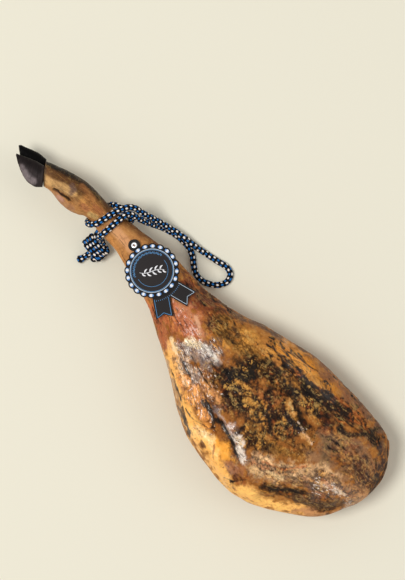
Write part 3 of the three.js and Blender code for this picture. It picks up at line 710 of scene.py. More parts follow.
# Strokes laid over the lumps, with sharper edges
DETAILS = {
    "black patch": ([(228, 372), (238, 376), (250, 374)], 7.5, (20, 18, 17), 0.96),
    "black patch low": ([(228, 382), (238, 389)], 5.5, (28, 25, 26), 0.9),
    "dark top": ([(236, 360), (252, 363), (270, 366)], 5, (46, 33, 18), 0.65),
    "gold flecks": ([(236, 381), (241, 384), (247, 388)], 2.4, (218, 158, 80), 0.85),
    "middle flecks": ([(245, 400), (251, 402), (256, 407)], 2.4, (206, 150, 72), 0.8),
    "channel": ([(276, 372), (288, 390), (298, 408), (304, 426)], 4, (36, 27, 18), 0.7),
    "flake": ([(289, 400), (291, 408), (292, 415)], 4.2, (208, 150, 84), 0.9),
    "flake light": ([(290, 403), (292, 411)], 2, (236, 200, 140), 0.7),
    "ridge shadow": ([(287, 415), (294, 424), (301, 432)], 3.2, (34, 29, 34), 0.95),
    # Painted highlight along the ridge
    "ridge highlight": ([(298, 422), (302, 429), (306, 435), (311, 443)], 1.2, (236, 206, 184), 0.8),
    "ridge end": ([(303, 434), (309, 441)], 3, (224, 168, 108), 0.75),
    # Painted shade in the low hollow and to its right
    "low hollow shade": ([(263, 486), (276, 489), (290, 491), (302, 493)], 3.6, (36, 27, 17), 0.75),
    "low hollow shade right": ([(294, 496), (312, 503), (330, 505)], 5, (86, 64, 44), 0.75),
    # Painted shade: black laid in the crack and the crevice beside the sunk fold
    "crack shade": ([(203, 402), (209, 408), (213, 416), (214, 428)], 2.4, (34, 24, 20), 0.95),
    "crack sheen": ([(215, 408), (220, 416)], 2.2, (150, 138, 136), 0.7),
    "crevice shade": ([(217, 419), (224, 427), (231, 437), (235, 448), (236, 458)], 2.2, (26, 20, 17), 0.95),
    # Painted highlight: a pale line and streak of reflected light down the fold
    "highlight line": ([(221, 416), (227, 425), (233, 436)], 1.5, (188, 166, 158), 0.7),
    "highlight streak": ([(237, 438), (240, 448), (241, 458)], 5, (228, 210, 202), 0.95),
    "silver gold": ([(236, 438), (239, 445)], 2, (214, 172, 110), 0.6),
    "left dark edge": ([(180, 409), (185, 420), (190, 435)], 2.4, (64, 42, 26), 0.85),
    "band core": ([(314, 381), (330, 394), (348, 409)], 5, (26, 22, 22), 0.75),
    "band low": ([(310, 392), (322, 402), (336, 412)], 3, (34, 27, 24), 0.7),
    "band orange": ([(336, 397), (350, 409), (362, 421)], 1.5, (186, 112, 56), 0.7),
    "band orange low": ([(328, 400), (344, 412), (358, 423)], 1.2, (172, 100, 48), 0.7),
    "strip light": ([(288, 352), (304, 368), (322, 388)], 3.4, (232, 164, 74), 0.6),
    "olive spot": ([(234, 328), (238, 336)], 2, (70, 50, 34), 0.7),
    "hollow light": ([(252, 468), (262, 474)], 3, (214, 176, 132), 0.7),
    "crust light": ([(268, 472), (282, 478)], 3, (230, 196, 152), 0.7),
    "crust brown": ([(286, 480), (304, 484), (318, 490)], 2.4, (120, 82, 56), 0.7),
    "right glints": ([(326, 484), (336, 490), (344, 494)], 3, (236, 208, 184), 0.7),
    # Painted highlights along the left edge of the fat
    "edge highlight": ([(171, 338), (174, 345), (177, 352)], 2.4, (250, 222, 184), 0.65),
    "edge highlight low": ([(178, 362), (182, 374), (187, 386)], 2, (246, 200, 150), 0.75),
    "glare white": ([(205, 346), (211, 353), (216, 361)], 2.6, (232, 222, 218), 0.7),
    "glare grey": ([(194, 356), (203, 363), (208, 369)], 4, (146, 124, 114), 0.65),
    "glare cream": ([(187, 341), (193, 345)], 3, (250, 226, 190), 0.8),
    # Painted highlight on the pink ridge
    "pink highlight ridge": ([(195, 316), (199, 324), (200, 334)], 2, (232, 190, 158), 0.4),
    # Painted highlight on the fat
    "fat highlight": ([(199, 429), (205, 434), (212, 440)], 4, (252, 212, 156), 0.75),
    "fat speck": ([(201, 442), (204, 446)], 2, (98, 62, 28), 0.85),
    "fat speck low": ([(213, 446), (213, 458)], 1.2, (150, 88, 40), 0.75),
    "fat speck upper": ([(197, 430), (199, 432)], 1.2, (112, 70, 34), 0.75),
    "mauve patch": ([(226, 464), (234, 472), (240, 470)], 5, (172, 118, 80), 0.6),
    "low spot": ([(230, 480), (233, 482)], 1.8, (42, 30, 24), 0.95),
    "orange line": ([(262, 462), (284, 469), (306, 466)], 1, (206, 124, 70), 0.55),
    "orange spot": ([(322, 480), (332, 488)], 2, (204, 130, 72), 0.6),
    "right dark": ([(338, 428), (352, 436), (370, 434), (378, 428)], 2.6, (38, 32, 26), 0.85),
    "right brown": ([(356, 462), (362, 474)], 5, (96, 62, 40), 0.7),
    # Painted shade along the right edge, turned from the light
    "right edge shade": ([(380, 446), (382, 462), (377, 482)], 2.8, (58, 52, 52), 0.85),
}
# Creases, which are sunk in the mesh and painted dark, the dark partly painted shade in the grooves
CREASES = {
    "left fold": ([(206, 400), (210, 407), (214, 417), (222, 424), (228, 432), (233, 446), (237, 456)],
                  1.7, 1.0),
    "left loop": ([(186, 408), (190, 416), (196, 421), (204, 425), (212, 431), (219, 431)], 0.88, 0.9),
    "left short": ([(192, 390), (195, 400), (197, 410)], 0.9, 0.7),
    "upper left": ([(181, 358), (187, 371), (194, 383)], 1.2, 0.9),
    "upper middle": ([(189, 352), (196, 364), (203, 377), (211, 388)], 1.1, 0.8),
    "upper right": ([(208, 356), (213, 366), (222, 374)], 1.1, 0.7),
    "dark spots": ([(172, 370), (175, 384), (180, 398), (185, 416), (188, 428)], 1, 0.75),
    "edge spots": ([(183, 416), (186, 424), (190, 434)], 1.3, 0.9),
    "channel": ([(277, 368), (285, 380), (293, 392), (295, 408)], 1.8, 0.9),
    "curve one": ([(273, 346), (283, 360), (295, 373), (308, 384)], 1.5, 1.0),
    "curve two": ([(280, 343), (288, 354), (297, 366), (305, 379)], 1.3, 1.0),
    "curve three": ([(290, 348), (300, 358), (309, 366), (318, 372)], 0.9, 0.85),
    "curve four": ([(267, 350), (273, 361), (282, 372)], 1.2, 0.8),
    "curve five": ([(297, 352), (306, 362), (312, 368)], 0.8, 0.6),
    "band one": ([(312, 384), (324, 394), (338, 406), (350, 418)], 2.0, 0.95),
    "band two": ([(308, 390), (320, 402), (336, 414)], 1.5, 0.9),
    "band three": ([(322, 388), (336, 398), (352, 412)], 1.3, 0.8),
    "right": ([(337, 408), (348, 423), (362, 433), (374, 436)], 1.6, 0.9),
    "hollow": ([(265, 486), (273, 491), (284, 489), (299, 492)], 1.8, 1.0),
    "hollow end": ([(290, 482), (300, 486), (316, 489), (332, 499)], 1.2, 0.7),
    "low left": ([(223, 477), (233, 482), (247, 479)], 0.88, 0.7),
    "olive one": ([(233, 318), (238, 330), (242, 339)], 1.2, 0.7),
    "olive two": ([(212, 326), (222, 332), (233, 342)], 1.1, 0.7),
    "pink side": ([(196, 336), (206, 330), (212, 322)], 1.1, 0.8),
    "middle": ([(246, 417), (256, 423), (266, 421), (274, 416)], 1.7, 0.9),
    "ridge side": ([(288, 418), (297, 426), (305, 432)], 1.6, 0.9),
    "low channel": ([(303, 392), (311, 404), (319, 412)], 1.2, 0.7),
    "shank one": ([(156, 314), (160, 331), (166, 346)], 0.9, 0.6),
    "shank two": ([(168, 318), (166, 330), (171, 340)], 0.8, 0.5),
    "shank three": ([(198, 296), (206, 308), (210, 318)], 0.9, 0.6),
    "rim": ([(388, 436), (388, 460), (382, 478), (369, 494)], 1.3, 0.8),
    "foot slit": ([(54, 189), (58, 191), (62, 195), (67, 197), (71, 201)], 0.9, 0.9),
}
# How much of each texture there is
MOULD = {
    "middle": ([(236, 392), (258, 408), (284, 426)], 26, 0.5),
    "black patch": ([(228, 375), (252, 373)], 12, 0.9),
    "dark top": ([(243, 362), (276, 372)], 12, 0.7),
    "olive": ([(218, 326), (246, 344)], 14, 0.45),
    "channel": ([(270, 366), (284, 386), (304, 428)], 10, 0.75),
    "band": ([(300, 378), (350, 416)], 12, 0.85),
    "right": ([(322, 400), (374, 438)], 12, 0.6),
    "end": ([(350, 430), (378, 455)], 12, 0.4),
    "low": ([(240, 446), (300, 456)], 13, 0.5),
    "hollow": ([(262, 485), (298, 492), (330, 504)], 7, 0.45),
    "creases": ([(206, 402), (214, 418), (232, 446)], 5, 0.6),
    "shoulder": ([(204, 296), (238, 316)], 9, 0.55),
    "strip": ([(262, 340), (300, 372)], 10, 0.35),
}
SPOTS = {
    "fat strip": ([(174, 362), (182, 400), (200, 440), (226, 474)], 8, 0.55),
    "low rim": ([(226, 482), (262, 498), (310, 510)], 7, 0.4),
    "middle": ([(222, 392), (255, 408), (300, 440)], 34, 0.7),
    "olive": ([(214, 326), (262, 350)], 20, 0.6),
    "grey": ([(252, 466), (330, 484)], 13, 0.58),
    "red": ([(160, 316), (196, 334)], 14, 0.35),
    "right": ([(318, 396), (372, 436)], 14, 0.6),
}
STREAKS = {
    "upper right": ([(272, 346), (312, 385)], 12, 0.95),
    "band": ([(304, 380), (350, 418)], 16, 1.0),
    "right": ([(335, 400), (372, 436)], 10, 0.85),
    "red": ([(158, 314), (182, 320)], 13, 0.3),
    "shoulder": ([(192, 286), (228, 316)], 10, 0.6),
    "gold strip": ([(290, 350), (332, 398)], 7, 0.22),
    "end": ([(330, 440), (370, 468)], 15, 0.3),
    "rim": ([(262, 325), (345, 385), (378, 425)], 5, 0.25),
    "shank": ([(112, 226), (150, 300)], 14, 0.2),
}
WRINKLES = {
    "glare": ([(186, 348), (218, 350)], 13, 1.0),
    "left": ([(184, 362), (210, 396)], 13, 0.8),
    "fold": ([(190, 388), (210, 428)], 12, 0.72),
    "creases": ([(214, 404), (238, 452)], 9, 0.7),
    "red": ([(160, 316), (190, 332)], 14, 0.3),
    "foot": ([(60, 182), (98, 212)], 12, 0.35),
}
CRACKLE = {
    "glare": ([(186, 348), (218, 350)], 12, 0.9),
    "left": ([(184, 362), (206, 386)], 11, 0.6),
    "middle": ([(222, 392), (255, 408), (288, 430)], 30, 0.6),
    "low middle": ([(238, 440), (300, 452)], 14, 0.55),
    "grey": ([(256, 464), (330, 486)], 14, 0.6),
    "right": ([(330, 420), (372, 470)], 20, 0.35),
    "low rim": ([(226, 482), (262, 498), (300, 508)], 7, 0.35),
}
CRUST = {
    "middle": ([(236, 392), (258, 408), (284, 424)], 26, 1.0),
    "grey": ([(256, 466), (330, 486)], 14, 0.7),
    "band": ([(288, 372), (350, 416)], 13, 0.7),
    "end": ([(336, 440), (366, 480)], 18, 0.5),
    "upper": ([(250, 368), (268, 376), (286, 386)], 13, 0.85),
    "right": ([(300, 392), (318, 414), (326, 430)], 12, 0.7),
    "hollow": ([(264, 487), (300, 494), (330, 504)], 9, 0.6),
    "olive": ([(216, 326), (256, 350)], 16, 0.5),
    "low middle": ([(240, 438), (262, 444)], 13, 0.9),
    "low right": ([(316, 488), (350, 494)], 11, 0.65),
    "under glare": ([(204, 363), (216, 373), (226, 374)], 9, 0.6),
    "fat brown": ([(228, 466), (240, 478)], 8, 0.45),
    "low gold": ([(270, 446), (306, 452)], 10, 0.4),
}
FLECKS = {
    "middle": ([(236, 390), (262, 406), (296, 416)], 24, 0.6),
    "upper flecks": ([(231, 383), (240, 386), (248, 389)], 6, 1.0),
    "middle flecks": ([(244, 402), (254, 404), (260, 410)], 6, 1.0),
    "low middle": ([(225, 430), (262, 444)], 14, 0.8),
    "right": ([(304, 402), (316, 410)], 8, 0.9),
    "grey": ([(255, 468), (325, 484)], 12, 0.6),
    "dark top": ([(246, 362), (270, 368)], 10, 0.7),
    "olive": ([(214, 322), (256, 350)], 16, 0.6),
}
# Pale specks: painted highlights on the wet wrinkles, ridges and streaks
PALE = {
    "glare": ([(186, 346), (216, 352)], 12, 1.0),
    "left": ([(186, 366), (214, 392)], 12, 0.85),
    "low right": ([(316, 486), (346, 500)], 10, 0.85),
    "red": ([(188, 312), (200, 334)], 6, 0.4),
    "fold": ([(196, 400), (214, 428)], 9, 0.65),
    "silver": ([(234, 436), (244, 460)], 6, 0.9),
    "ridge": ([(300, 432), (310, 444)], 6, 0.5),
}
GLOSS = {
    "glare": ([(186, 346), (218, 350)], 15, 1.0),
    "left": ([(184, 362), (208, 412)], 13, 0.8),
    "fat": ([(172, 350), (184, 400), (200, 438), (226, 474)], 10, 0.6),
    "highlight streak": ([(232, 428), (244, 462)], 7, 1.0),
    "red": ([(180, 310), (200, 336)], 13, 0.55),
    "low right": ([(312, 488), (350, 498)], 12, 0.7),
    "gold strip": ([(284, 350), (332, 398)], 9, 0.4),
}
TEXTURES = dict(mould=MOULD, spots=SPOTS, streak=STREAKS, wrinkle=WRINKLES, crackle=CRACKLE, crust=CRUST,
                fleck=FLECKS, pale=PALE, gloss=GLOSS)
TEXTURE_EDGE = (0.35, 1.15)
# Where the shank turns into the body, as the sum of a pixel's coordinates, and how far round the
# sides the painting reaches
BODY_FROM = (340, 460)
SHOWN_TO = (0.0, 0.55)

# Colours of the ham out of 255
UNDERSIDE = (172, 118, 58)
LUMP_GOLD = (222, 160, 76)
LUMP_RUST = (176, 96, 42)
LUMP_DARK = (28, 20, 13)
FOLD_DARK = (98, 54, 28)
FOLD_GOLD = (246, 178, 84)
STREAK_DARK = (20, 16, 15)
STREAK_GOLD = (214, 128, 52)
RIND_SHADE = (98, 84, 72)
RIND_LIGHT = (238, 192, 112)
FLECK_GOLD = (214, 158, 76)
MOULD_DARK = (32, 25, 18)
SPOT_DARK = (42, 29, 20)
GRAIN_DARK = (34, 25, 20)
LINE_BROWN = (76, 44, 26)
# Painted highlight specks and painted glints
HIGHLIGHT_SPECK_PALE = (252, 234, 218)
GLINT_PALE = (255, 240, 222)
CREASE_DARK_AND_SHADE = (34, 24, 18)
# Darks are made darker and lights lighter about a middle value, by channel
DEEPEN = (0.14, 0.17, 0.1)
DEEPEN_ABOUT = 0.2


def strokes(px, py, table, torn):
    """How much of a texture the strokes of a table lay down at each place, from 0 to 1."""
    total = np.zeros(px.shape)
    for line, width, amount in table.values():
        reach = distance_to_line(px, py, line) / width + torn
        total = np.maximum(total, amount * (1 - smooth(reach, *TEXTURE_EDGE)))
    return total


def laid(tone, colour, amount):
    """The tone with a colour laid over it, by the amount at each place."""
    return tone + amount[..., None] * (np.array(linear(*colour)[:3]) - tone)


def painted(tone, px, py, table, torn, edge, share=1.0):
    """The tone with a table's coloured strokes laid on it; each fades out over the edge given."""
    for line, width, colour, amount in table.values():
        reach = distance_to_line(px, py, line) / width + torn
        tone = laid(tone, colour, amount * (1 - smooth(reach, *edge)) * share)
    return tone


def painting(grid):
    """The ham's colours, and how much of each texture there is, at every point of its skin."""
    p = grid["bare"] + grid["normal"] * grid["lift"][..., None]
    px, py = frame_to_photo(p[..., 0], p[..., 1], p[..., 2])
    body = smooth(px + py, *BODY_FROM)
    shown = 1 - smooth(-grid["rise"], *SHOWN_TO)
    # The edges of the strokes wander more on the sides, where they would run straight down
    side = body * (1 + 1.6 * (1 - smooth(grid["rise"], 0.05, 0.5)))
    warped = [at + side * (3.0 * layered(p, 26, seed, 2) + 2.2 * layered(p, 9, seed + 5, 3))
              for at, seed in ((px, 51), (py, 71))]
    torn = side * 0.42 * layered(p, 12, 91, 4, 0.7)
    slight = [0.7 * layered(p, 12, seed, 2) for seed in (131, 151)]
    tone = np.empty(px.shape + (3,))
    tone[:] = linear(*UNDERSIDE)[:3]
    tone = painted(tone, *warped, TONES, torn, (0.4, 1.15), shown)
    paint = {name: strokes(*warped, table, torn) * shown for name, table in TEXTURES.items()}
    paint["mould"] = np.maximum(paint["mould"], 0.22 * (1 - shown) + 0.1)
    broken = 0.75 + 0.45 * layered(p, 7, 171, 2)
    crease = np.zeros(px.shape)
    for line, width, amount in CREASES.values():
        away = distance_to_line(px + slight[0], py + slight[1], line) / width
        crease = np.maximum(crease, amount * np.exp(-(away**2)))
    paint["crease"] = np.clip(crease * broken, 0, 1) * shown
    tone = lumpy(tone, p, grid, paint)
    ragged = 0.5 * layered(p, 7, 191, 3, 0.8) * body
    tone = painted(tone, px + 1.5 * slight[0], py + 1.5 * slight[1], DETAILS, ragged, (0.5, 1.15), shown)
    deepen = 1 + body[..., None] * np.array(DEEPEN)
    paint["tone"] = DEEPEN_ABOUT * (np.clip(tone, 0, 1) / DEEPEN_ABOUT) ** deepen
    return paint


def lumpy(tone, p, grid, paint):
    """The crust's lumps, folds and streaks laid on the colours, each lump a little different."""
    crust, wrinkle, streak = (paint[name] for name in ("crust", "wrinkle", "streak"))
    lump = np.zeros(crust.shape)
    patches = layered(p, 46, 331, 3)
    tone = tone * (1 + 0.3 * crust * patches)[..., None]
    for size, seed, share in ((14, 301, 0.55), (6.5, 311, 0.45)):
        grain = bent(grid["flow"] * np.array([0.62, 1, 1]), size * 1.5, size * 0.6, seed + 7)
        inside, number = cells(grain, size, seed)
        core = smooth(inside, 0.05, 0.34)
        rusty = smooth(number, 0.42, 0.5) * (1 - smooth(number, 0.58, 0.66))
        tone = laid(tone, LUMP_GOLD, crust * 0.62 * smooth(number, 0.7, 0.78) * core)
        tone = laid(tone, LUMP_RUST, crust * 0.6 * rusty * core)
        tone = laid(tone, LUMP_DARK, crust**1.5 * 0.7 * (1 - smooth(number + 0.2 * patches, 0.16, 0.24)))
        tone = laid(tone, LUMP_DARK, crust**1.3 * 0.85 * (1 - core))
        lump += share * core
    flow = bent(grid["flow"], 24, 5, 401)
    inside, number = cells(flow * np.array([0.3, 1, 1]), 8, 411)
    fold = smooth(inside, 0.03, 0.3)
    tone = laid(tone, FOLD_DARK, wrinkle * 0.8 * (1 - fold))
    tone = laid(tone, FOLD_GOLD, wrinkle * 0.45 * smooth(number, 0.66, 0.76) * fold)
    tone = laid(tone, FOLD_DARK, wrinkle * 0.25 * (1 - smooth(number, 0.1, 0.18)))
    inside, number = cells(flow * np.array([0.13, 1, 1]), 4.4, 421)
    black = (1 - smooth(number, 0.62 * streak - 0.05, 0.62 * streak + 0.02)) * smooth(inside, 0.04, 0.25)
    black = black * smooth(streak, 0.05, 0.3)
    tone = laid(tone, STREAK_DARK, 0.95 * black)
    tone = laid(tone, STREAK_GOLD, 0.55 * streak * smooth(number, 0.78, 0.84) * smooth(inside, 0.04, 0.3))
    grid.update(lump=lump, fold=fold, black_streak=black)
    return np.clip(tone, 0, 1)


def mottled(n, place, flow, middle, fine):
    """The painted tone, lighter and darker at three sizes together, most where the crust is rough."""
    tone = n.value("tone", "Color")
    wide = n.noise(place, 58, 4, 0.6, 0.4)
    along = n.noise(n.scaled(flow, (0.045, 0.26, 0.3)), 1.0, 5, 0.62, 0.5)
    total = n.add(n.mul(wide, 0.7), n.add(middle, n.mul(fine, 0.8)))
    total = n.sub(total, 1.25)
    total = n.add(total, n.mul(n.sub(along, 0.5), n.add(0.5, n.value("streak"))))
    contrast = n.add(0.35, n.mul(n.value("crust"), 0.55))
    dark = n.mix(1.0, tone, linear(*RIND_SHADE), "MULTIPLY")
    light = n.mix(0.5, tone, linear(*RIND_LIGHT))
    colour = n.mix(n.mul(n.range(total, -0.26, 0.02, 1.0, 0.0), contrast), tone, dark)
    return n.mix(n.mul(n.range(total, 0.02, 0.26), contrast), colour, light)


def speckled(n, colour, place, flow):
    """Golden flecks of dried fat, dark mould in blotches and specks, and streaks along the grain."""
    flecks = n.cut(n.noise(place, 165, 4, 0.7, 0.6), n.value("fleck"), 0.76, 0.54, 0.04)
    colour = n.over(colour, flecks, 0.85, FLECK_GOLD)
    mould = n.cut(n.noise(place, 74, 8, 0.74, 0.6), n.value("mould"), 0.76, 0.46, 0.05)
    colour = n.over(colour, mould, 0.9, MOULD_DARK)
    spots = n.cut(n.noise(place, 270, 3, 0.6, 0.4), n.value("spots"), 0.78, 0.55, 0.04)
    colour = n.over(colour, spots, 0.85, SPOT_DARK)
    grain = n.noise(n.scaled(flow, (0.05, 0.42, 0.3)), 1.0, 5, 0.6, 0.8)
    streaks = n.cut(grain, n.value("streak"), 0.76, 0.54, 0.04)
    return n.over(colour, streaks, 0.92, GRAIN_DARK)


def thin_lines(n, place, flow):
    """Where the thin winding lines run: crackle in the crust and wrinkles along the grain."""
    winding = n.lines(n.noise(place, 82, 3, 0.6, 1.2), n.value("crackle"), 0.022)
    folded = n.noise(n.scaled(flow, (0.05, 0.16, 0.3)), 1.0, 3, 0.6, 1.0)
    return n.math("MAXIMUM", winding, n.lines(folded, n.value("wrinkle"), 0.026))


def pale_highlights_and_glints(n, colour, place, flow, gloss):
    """Pale specks of painted highlight, and small painted glints where the crust is rough or wet."""
    highlight_specks = n.noise(n.scaled(flow, (0.14, 0.34, 0.3)), 1.0, 4, 0.66, 0.5)
    colour = n.over(colour, n.cut(highlight_specks, n.value("pale"), 0.72, 0.54, 0.04), 0.85, HIGHLIGHT_SPECK_PALE)
    wet = n.math("MAXIMUM", gloss, n.mul(n.value("crust"), 0.55))
    painted_glints = n.cut(n.noise(place, 390, 2, 0.5), wet, 0.86, 0.66, 0.03)
    return n.over(colour, painted_glints, 0.8, GLINT_PALE)


def ham_material():
    n = Nodes("cured_rind")
    place = n.place()
    flow = n.value("flow", "Vector")
    gloss = n.value("gloss")
    middle = n.noise(place, 128, 4, 0.66, 0.5)
    fine = n.noise(place, 310, 4, 0.7, 0.3)
    thin = thin_lines(n, place, flow)
    colour = mottled(n, place, flow, middle, fine)
    colour = speckled(n, colour, place, flow)
    colour = n.over(colour, thin, 0.7, LINE_BROWN)
    colour = pale_highlights_and_glints(n, colour, place, flow, gloss)
    # Darker along the creases: partly painted shade in the grooves
    crease = n.range(n.value("crease"), 0.18, 0.72, 0.0, 0.92)
    n.set(Base_Color=n.mix(crease, colour, linear(*CREASE_DARK_AND_SHADE)))
    rough = n.range(n.noise(place, 120, 4, 0.6), 0.3, 0.7, 0.38, 0.6)
    n.set(Roughness=n.sub(rough, n.mul(gloss, 0.18)))
    height = n.sub(n.add(n.mul(middle, 0.8), n.mul(fine, 0.45)), n.mul(thin, 0.5))
    n.set(Normal=n.bump(height, 0.0024, 0.8))
    n.set(Specular_IOR_Level=n.add(0.13, n.mul(gloss, 0.4)))
    n.set(Coat_Weight=n.mul(gloss, 0.75), Coat_Roughness=0.15)
    return n.material


def make_ham():
    grid = ham_grid()
    paint = painting(grid)
    lift = grid["lift"] + fine_relief(grid, paint) * grid["scale"]
    points = grid["bare"] + grid["normal"] * lift[..., None]
    points[..., 2] = np.maximum(0.0, points[..., 2])
    rings, around = points.shape[:2]
    piece = new_object("ham_skin", points.reshape(-1, 3), tube_faces(rings, around))
    add_colours(piece, "tone", paint.pop("tone").reshape(-1, 3))
    add_vectors(piece, "flow", grid["flow"].reshape(-1, 3))
    for name, values in paint.items():
        add_values(piece, name, values)
    piece.data.materials.append(ham_material())
    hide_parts("ham")


# The claws
# The near claw's top is painted dark as painted shade, and its sheen is a painted highlight
HORN_TONES = {
    "near": ([(14, 156), (40, 180)], 40, (48, 41, 41), 1.0),
    "near shaded top": ([(18, 156), (32, 164), (42, 170)], 6, (26, 21, 21), 0.85),
    "near sheen": ([(21, 168), (27, 177), (33, 181)], 4.8, (124, 113, 114), 0.92),
    "near low edge": ([(17, 162), (23, 178), (32, 187)], 1.4, (48, 38, 36), 0.7),
    "coronet": ([(44, 166), (43, 176), (42, 186)], 2.6, (52, 44, 42), 0.8),
}
# The far claw is painted near black: painted shade, for the claw that lies behind in shadow
FAR_HORN_SHADE_TONES = {
    "far": ([(18, 144), (44, 158)], 40, (4, 3, 3), 1.0),
    "far top": ([(24, 147), (34, 151)], 2, (12, 10, 10), 0.7),
}
HORN_LIGHTER = (2.6, 2.5, 2.5, 1.0)
HORN_WORN = (12, 10, 10)


def horn_material():
    n = Nodes("horn")
    growth = n.noise(n.scaled(n.value("growth", "Vector"), (0.5, 0.06, 1.0)), 1.0, 4, 0.6)
    scratches = n.noise(n.scaled(n.value("growth", "Vector"), (0.05, 0.9, 1.0)), 1.0, 3, 0.6)
    wear = n.noise(n.place(), 110, 5, 0.65)
    tone = n.value("tone", "Color")
    lit = n.mix(1.0, tone, HORN_LIGHTER, "MULTIPLY")
    colour = n.mix(n.range(growth, 0.5, 0.72, 0.0, 0.3), tone, lit)
    colour = n.mix(n.range(scratches, 0.56, 0.72, 0.0, 0.35), colour, lit)
    colour = n.mix(n.range(wear, 0.3, 0.5, 0.4, 0.0), colour, linear(*HORN_WORN))
    n.set(Base_Color=colour, Roughness=n.range(wear, 0.3, 0.7, 0.42, 0.62), Specular_IOR_Level=0.08)
    n.set(Normal=n.bump(n.add(scratches, n.mul(wear, 0.6)), 0.0005, 0.6))
    return n.material


def make_claw(name, node, sections, height, tones, material):
    row = Row(sections)
    stops = np.linspace(0, row.knots[-1], CLAW_RINGS)
    x, y, turn, half, rise = (c[:, None] for c in row.at(stops).T)
    coronet = math.radians(sections[0][2])
    angle = np.linspace(0, 2 * np.pi, CLAW_AROUND, endpoint=False)[None, :]
    ends = smooth(stops, 0, 6) * (1 - smooth(stops, row.knots[-1] - 8, row.knots[-1]))
    growth = (0.16 * np.sin(stops * 1.4) + 0.22 * np.sin(stops * 0.63 + 1))[:, None] * ends[:, None]
    growth = growth * smooth(np.sin(angle), -0.3, 0.5)
    side = signed_power(np.cos(angle), CLAW_SQUARENESS["side"]) * (half + growth)
    px = x - CORONET_GAP * math.cos(coronet) - np.sin(np.radians(turn)) * side
    py = y - CORONET_GAP * math.sin(coronet) + np.cos(np.radians(turn)) * side
    pz = height + signed_power(np.sin(angle), CLAW_SQUARENESS["rise"]) * (rise + growth)
    points = np.stack([px, py, pz], axis=-1)
    faces = [face[::-1] for face in tube_faces(CLAW_RINGS, CLAW_AROUND)]
    piece = new_object(name, points.reshape(-1, 3), faces)
    around = np.sin(angle) * 20 + np.cos(angle) * 7
    lines = np.stack(np.broadcast_arrays(stops[:, None], around, 0.0), axis=-1)
    add_vectors(piece, "growth", lines.reshape(-1, 3))
    shown_x, shown_y = frame_to_photo(px, py, pz)
    wander = 0.7 * noise(points, 5, 7)
    tone = painted(np.zeros(points.shape), shown_x + wander, shown_y, tones, 0.0, (0.3, 1.15))
    add_colours(piece, "tone", tone.reshape(-1, 3))
    piece.data.materials.append(material)
    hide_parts(node)


# The rope
def part_way(t, start, end, a, b):
    """From a at the start to b at the end."""
    return (end - t) / (end - start) * a + (t - start) / (end - start) * b


def smooth_path(route, step):
    """Points a step apart on the smooth curve through a route, and how far along each is."""
    p = np.array(route, dtype=float)
    p = np.concatenate([[2 * p[0] - p[1]], p, [2 * p[-1] - p[-2]]])
    dense = []
    for a, b, c, d in zip(p, p[1:], p[2:], p[3:]):
        knots = np.cumsum([0] + [np.linalg.norm(v) ** 0.5 for v in (b - a, c - b, d - c)])
        t = np.linspace(knots[1], knots[2], 40, endpoint=False)[:, None]
        left = part_way(t, knots[0], knots[1], a, b)
        middle = part_way(t, knots[1], knots[2], b, c)
        right = part_way(t, knots[2], knots[3], c, d)
        left = part_way(t, knots[0], knots[2], left, middle)
        right = part_way(t, knots[1], knots[3], middle, right)
        dense.append(part_way(t, knots[1], knots[2], left, right))
    dense = np.concatenate(dense + [p[-2:-1]])
    run = np.concatenate([[0], np.cumsum(np.linalg.norm(np.diff(dense, axis=0), axis=1))])
    stops = np.linspace(0, run[-1], max(2, round(run[-1] / step) + 1))
    return np.stack([np.interp(stops, run, dense[:, k]) for k in range(3)], axis=1), stops


def carried_frames(line):
    """Two directions across a line at each point, carried along it without twisting."""
    tangent = np.gradient(line, axis=0)
    tangent /= np.linalg.norm(tangent, axis=1)[:, None]
    side = unit(np.cross(tangent[0], [0, 0, 1.0]))
    sides = []
    for t in tangent:
        side = unit(side - t * side.dot(t))
        sides.append(side)
    sides = np.array(sides)
    return sides, np.cross(tangent, sides)


def braided(name, line, run, material, ends=(True, True), flare=0.0):
    """A round braided strand: its stitches are in the mesh, their colours in the material."""
    side, up = carried_frames(line)
    angle = np.linspace(0, 2 * np.pi, ROPE_AROUND, endpoint=False)
    row = (angle / (2 * np.pi) * ROPE_ROWS)[None, :]
    along = (run / FLECK_PITCH)[:, None]
    across = np.cos(np.pi * (row - np.floor(row) - 0.5)) ** 0.8
    stitch = np.abs(np.cos(2 * np.pi * along)) ** 0.7 * across
    end = np.ones(len(run))
    for at_end, distance in zip(ends, (run - run[0], run[-1] - run)):
        if at_end:
            rounded = 1 - (1 - distance / END_ROUNDING).clip(0, 1) ** 2
            end = np.minimum(end, np.sqrt(np.clip(rounded, 0.3, 1)))
    end = end * (1 + flare * smooth(run, run[-1] - FLARE_LENGTH, run[-1] - 2))
    radius = (ROPE_DIAMETER / 2 - BRAID_RISE + BRAID_RISE * stitch) * end[:, None]
    turn = angle[None, :] + (run * 2 * np.pi / ROPE_TWIST)[:, None]
    points = line[:, None] + radius[..., None] * (
        np.cos(turn)[..., None] * side[:, None] + np.sin(turn)[..., None] * up[:, None])
    points[..., 2] = np.maximum(points[..., 2], 0.0)
    piece = new_object(name, points.reshape(-1, 3), tube_faces(len(run), ROPE_AROUND))
    stitches = np.stack(np.broadcast_arrays(along, row, along * 0), axis=-1)
    add_vectors(piece, "braid", stitches.reshape(-1, 3))
    cut = (1 - smooth(run[-1] - run, 0.2, 1.6)) * ends[1]
    add_values(piece, "cut", np.repeat(cut, ROPE_AROUND))
    piece.data.materials.append(material)
    return piece


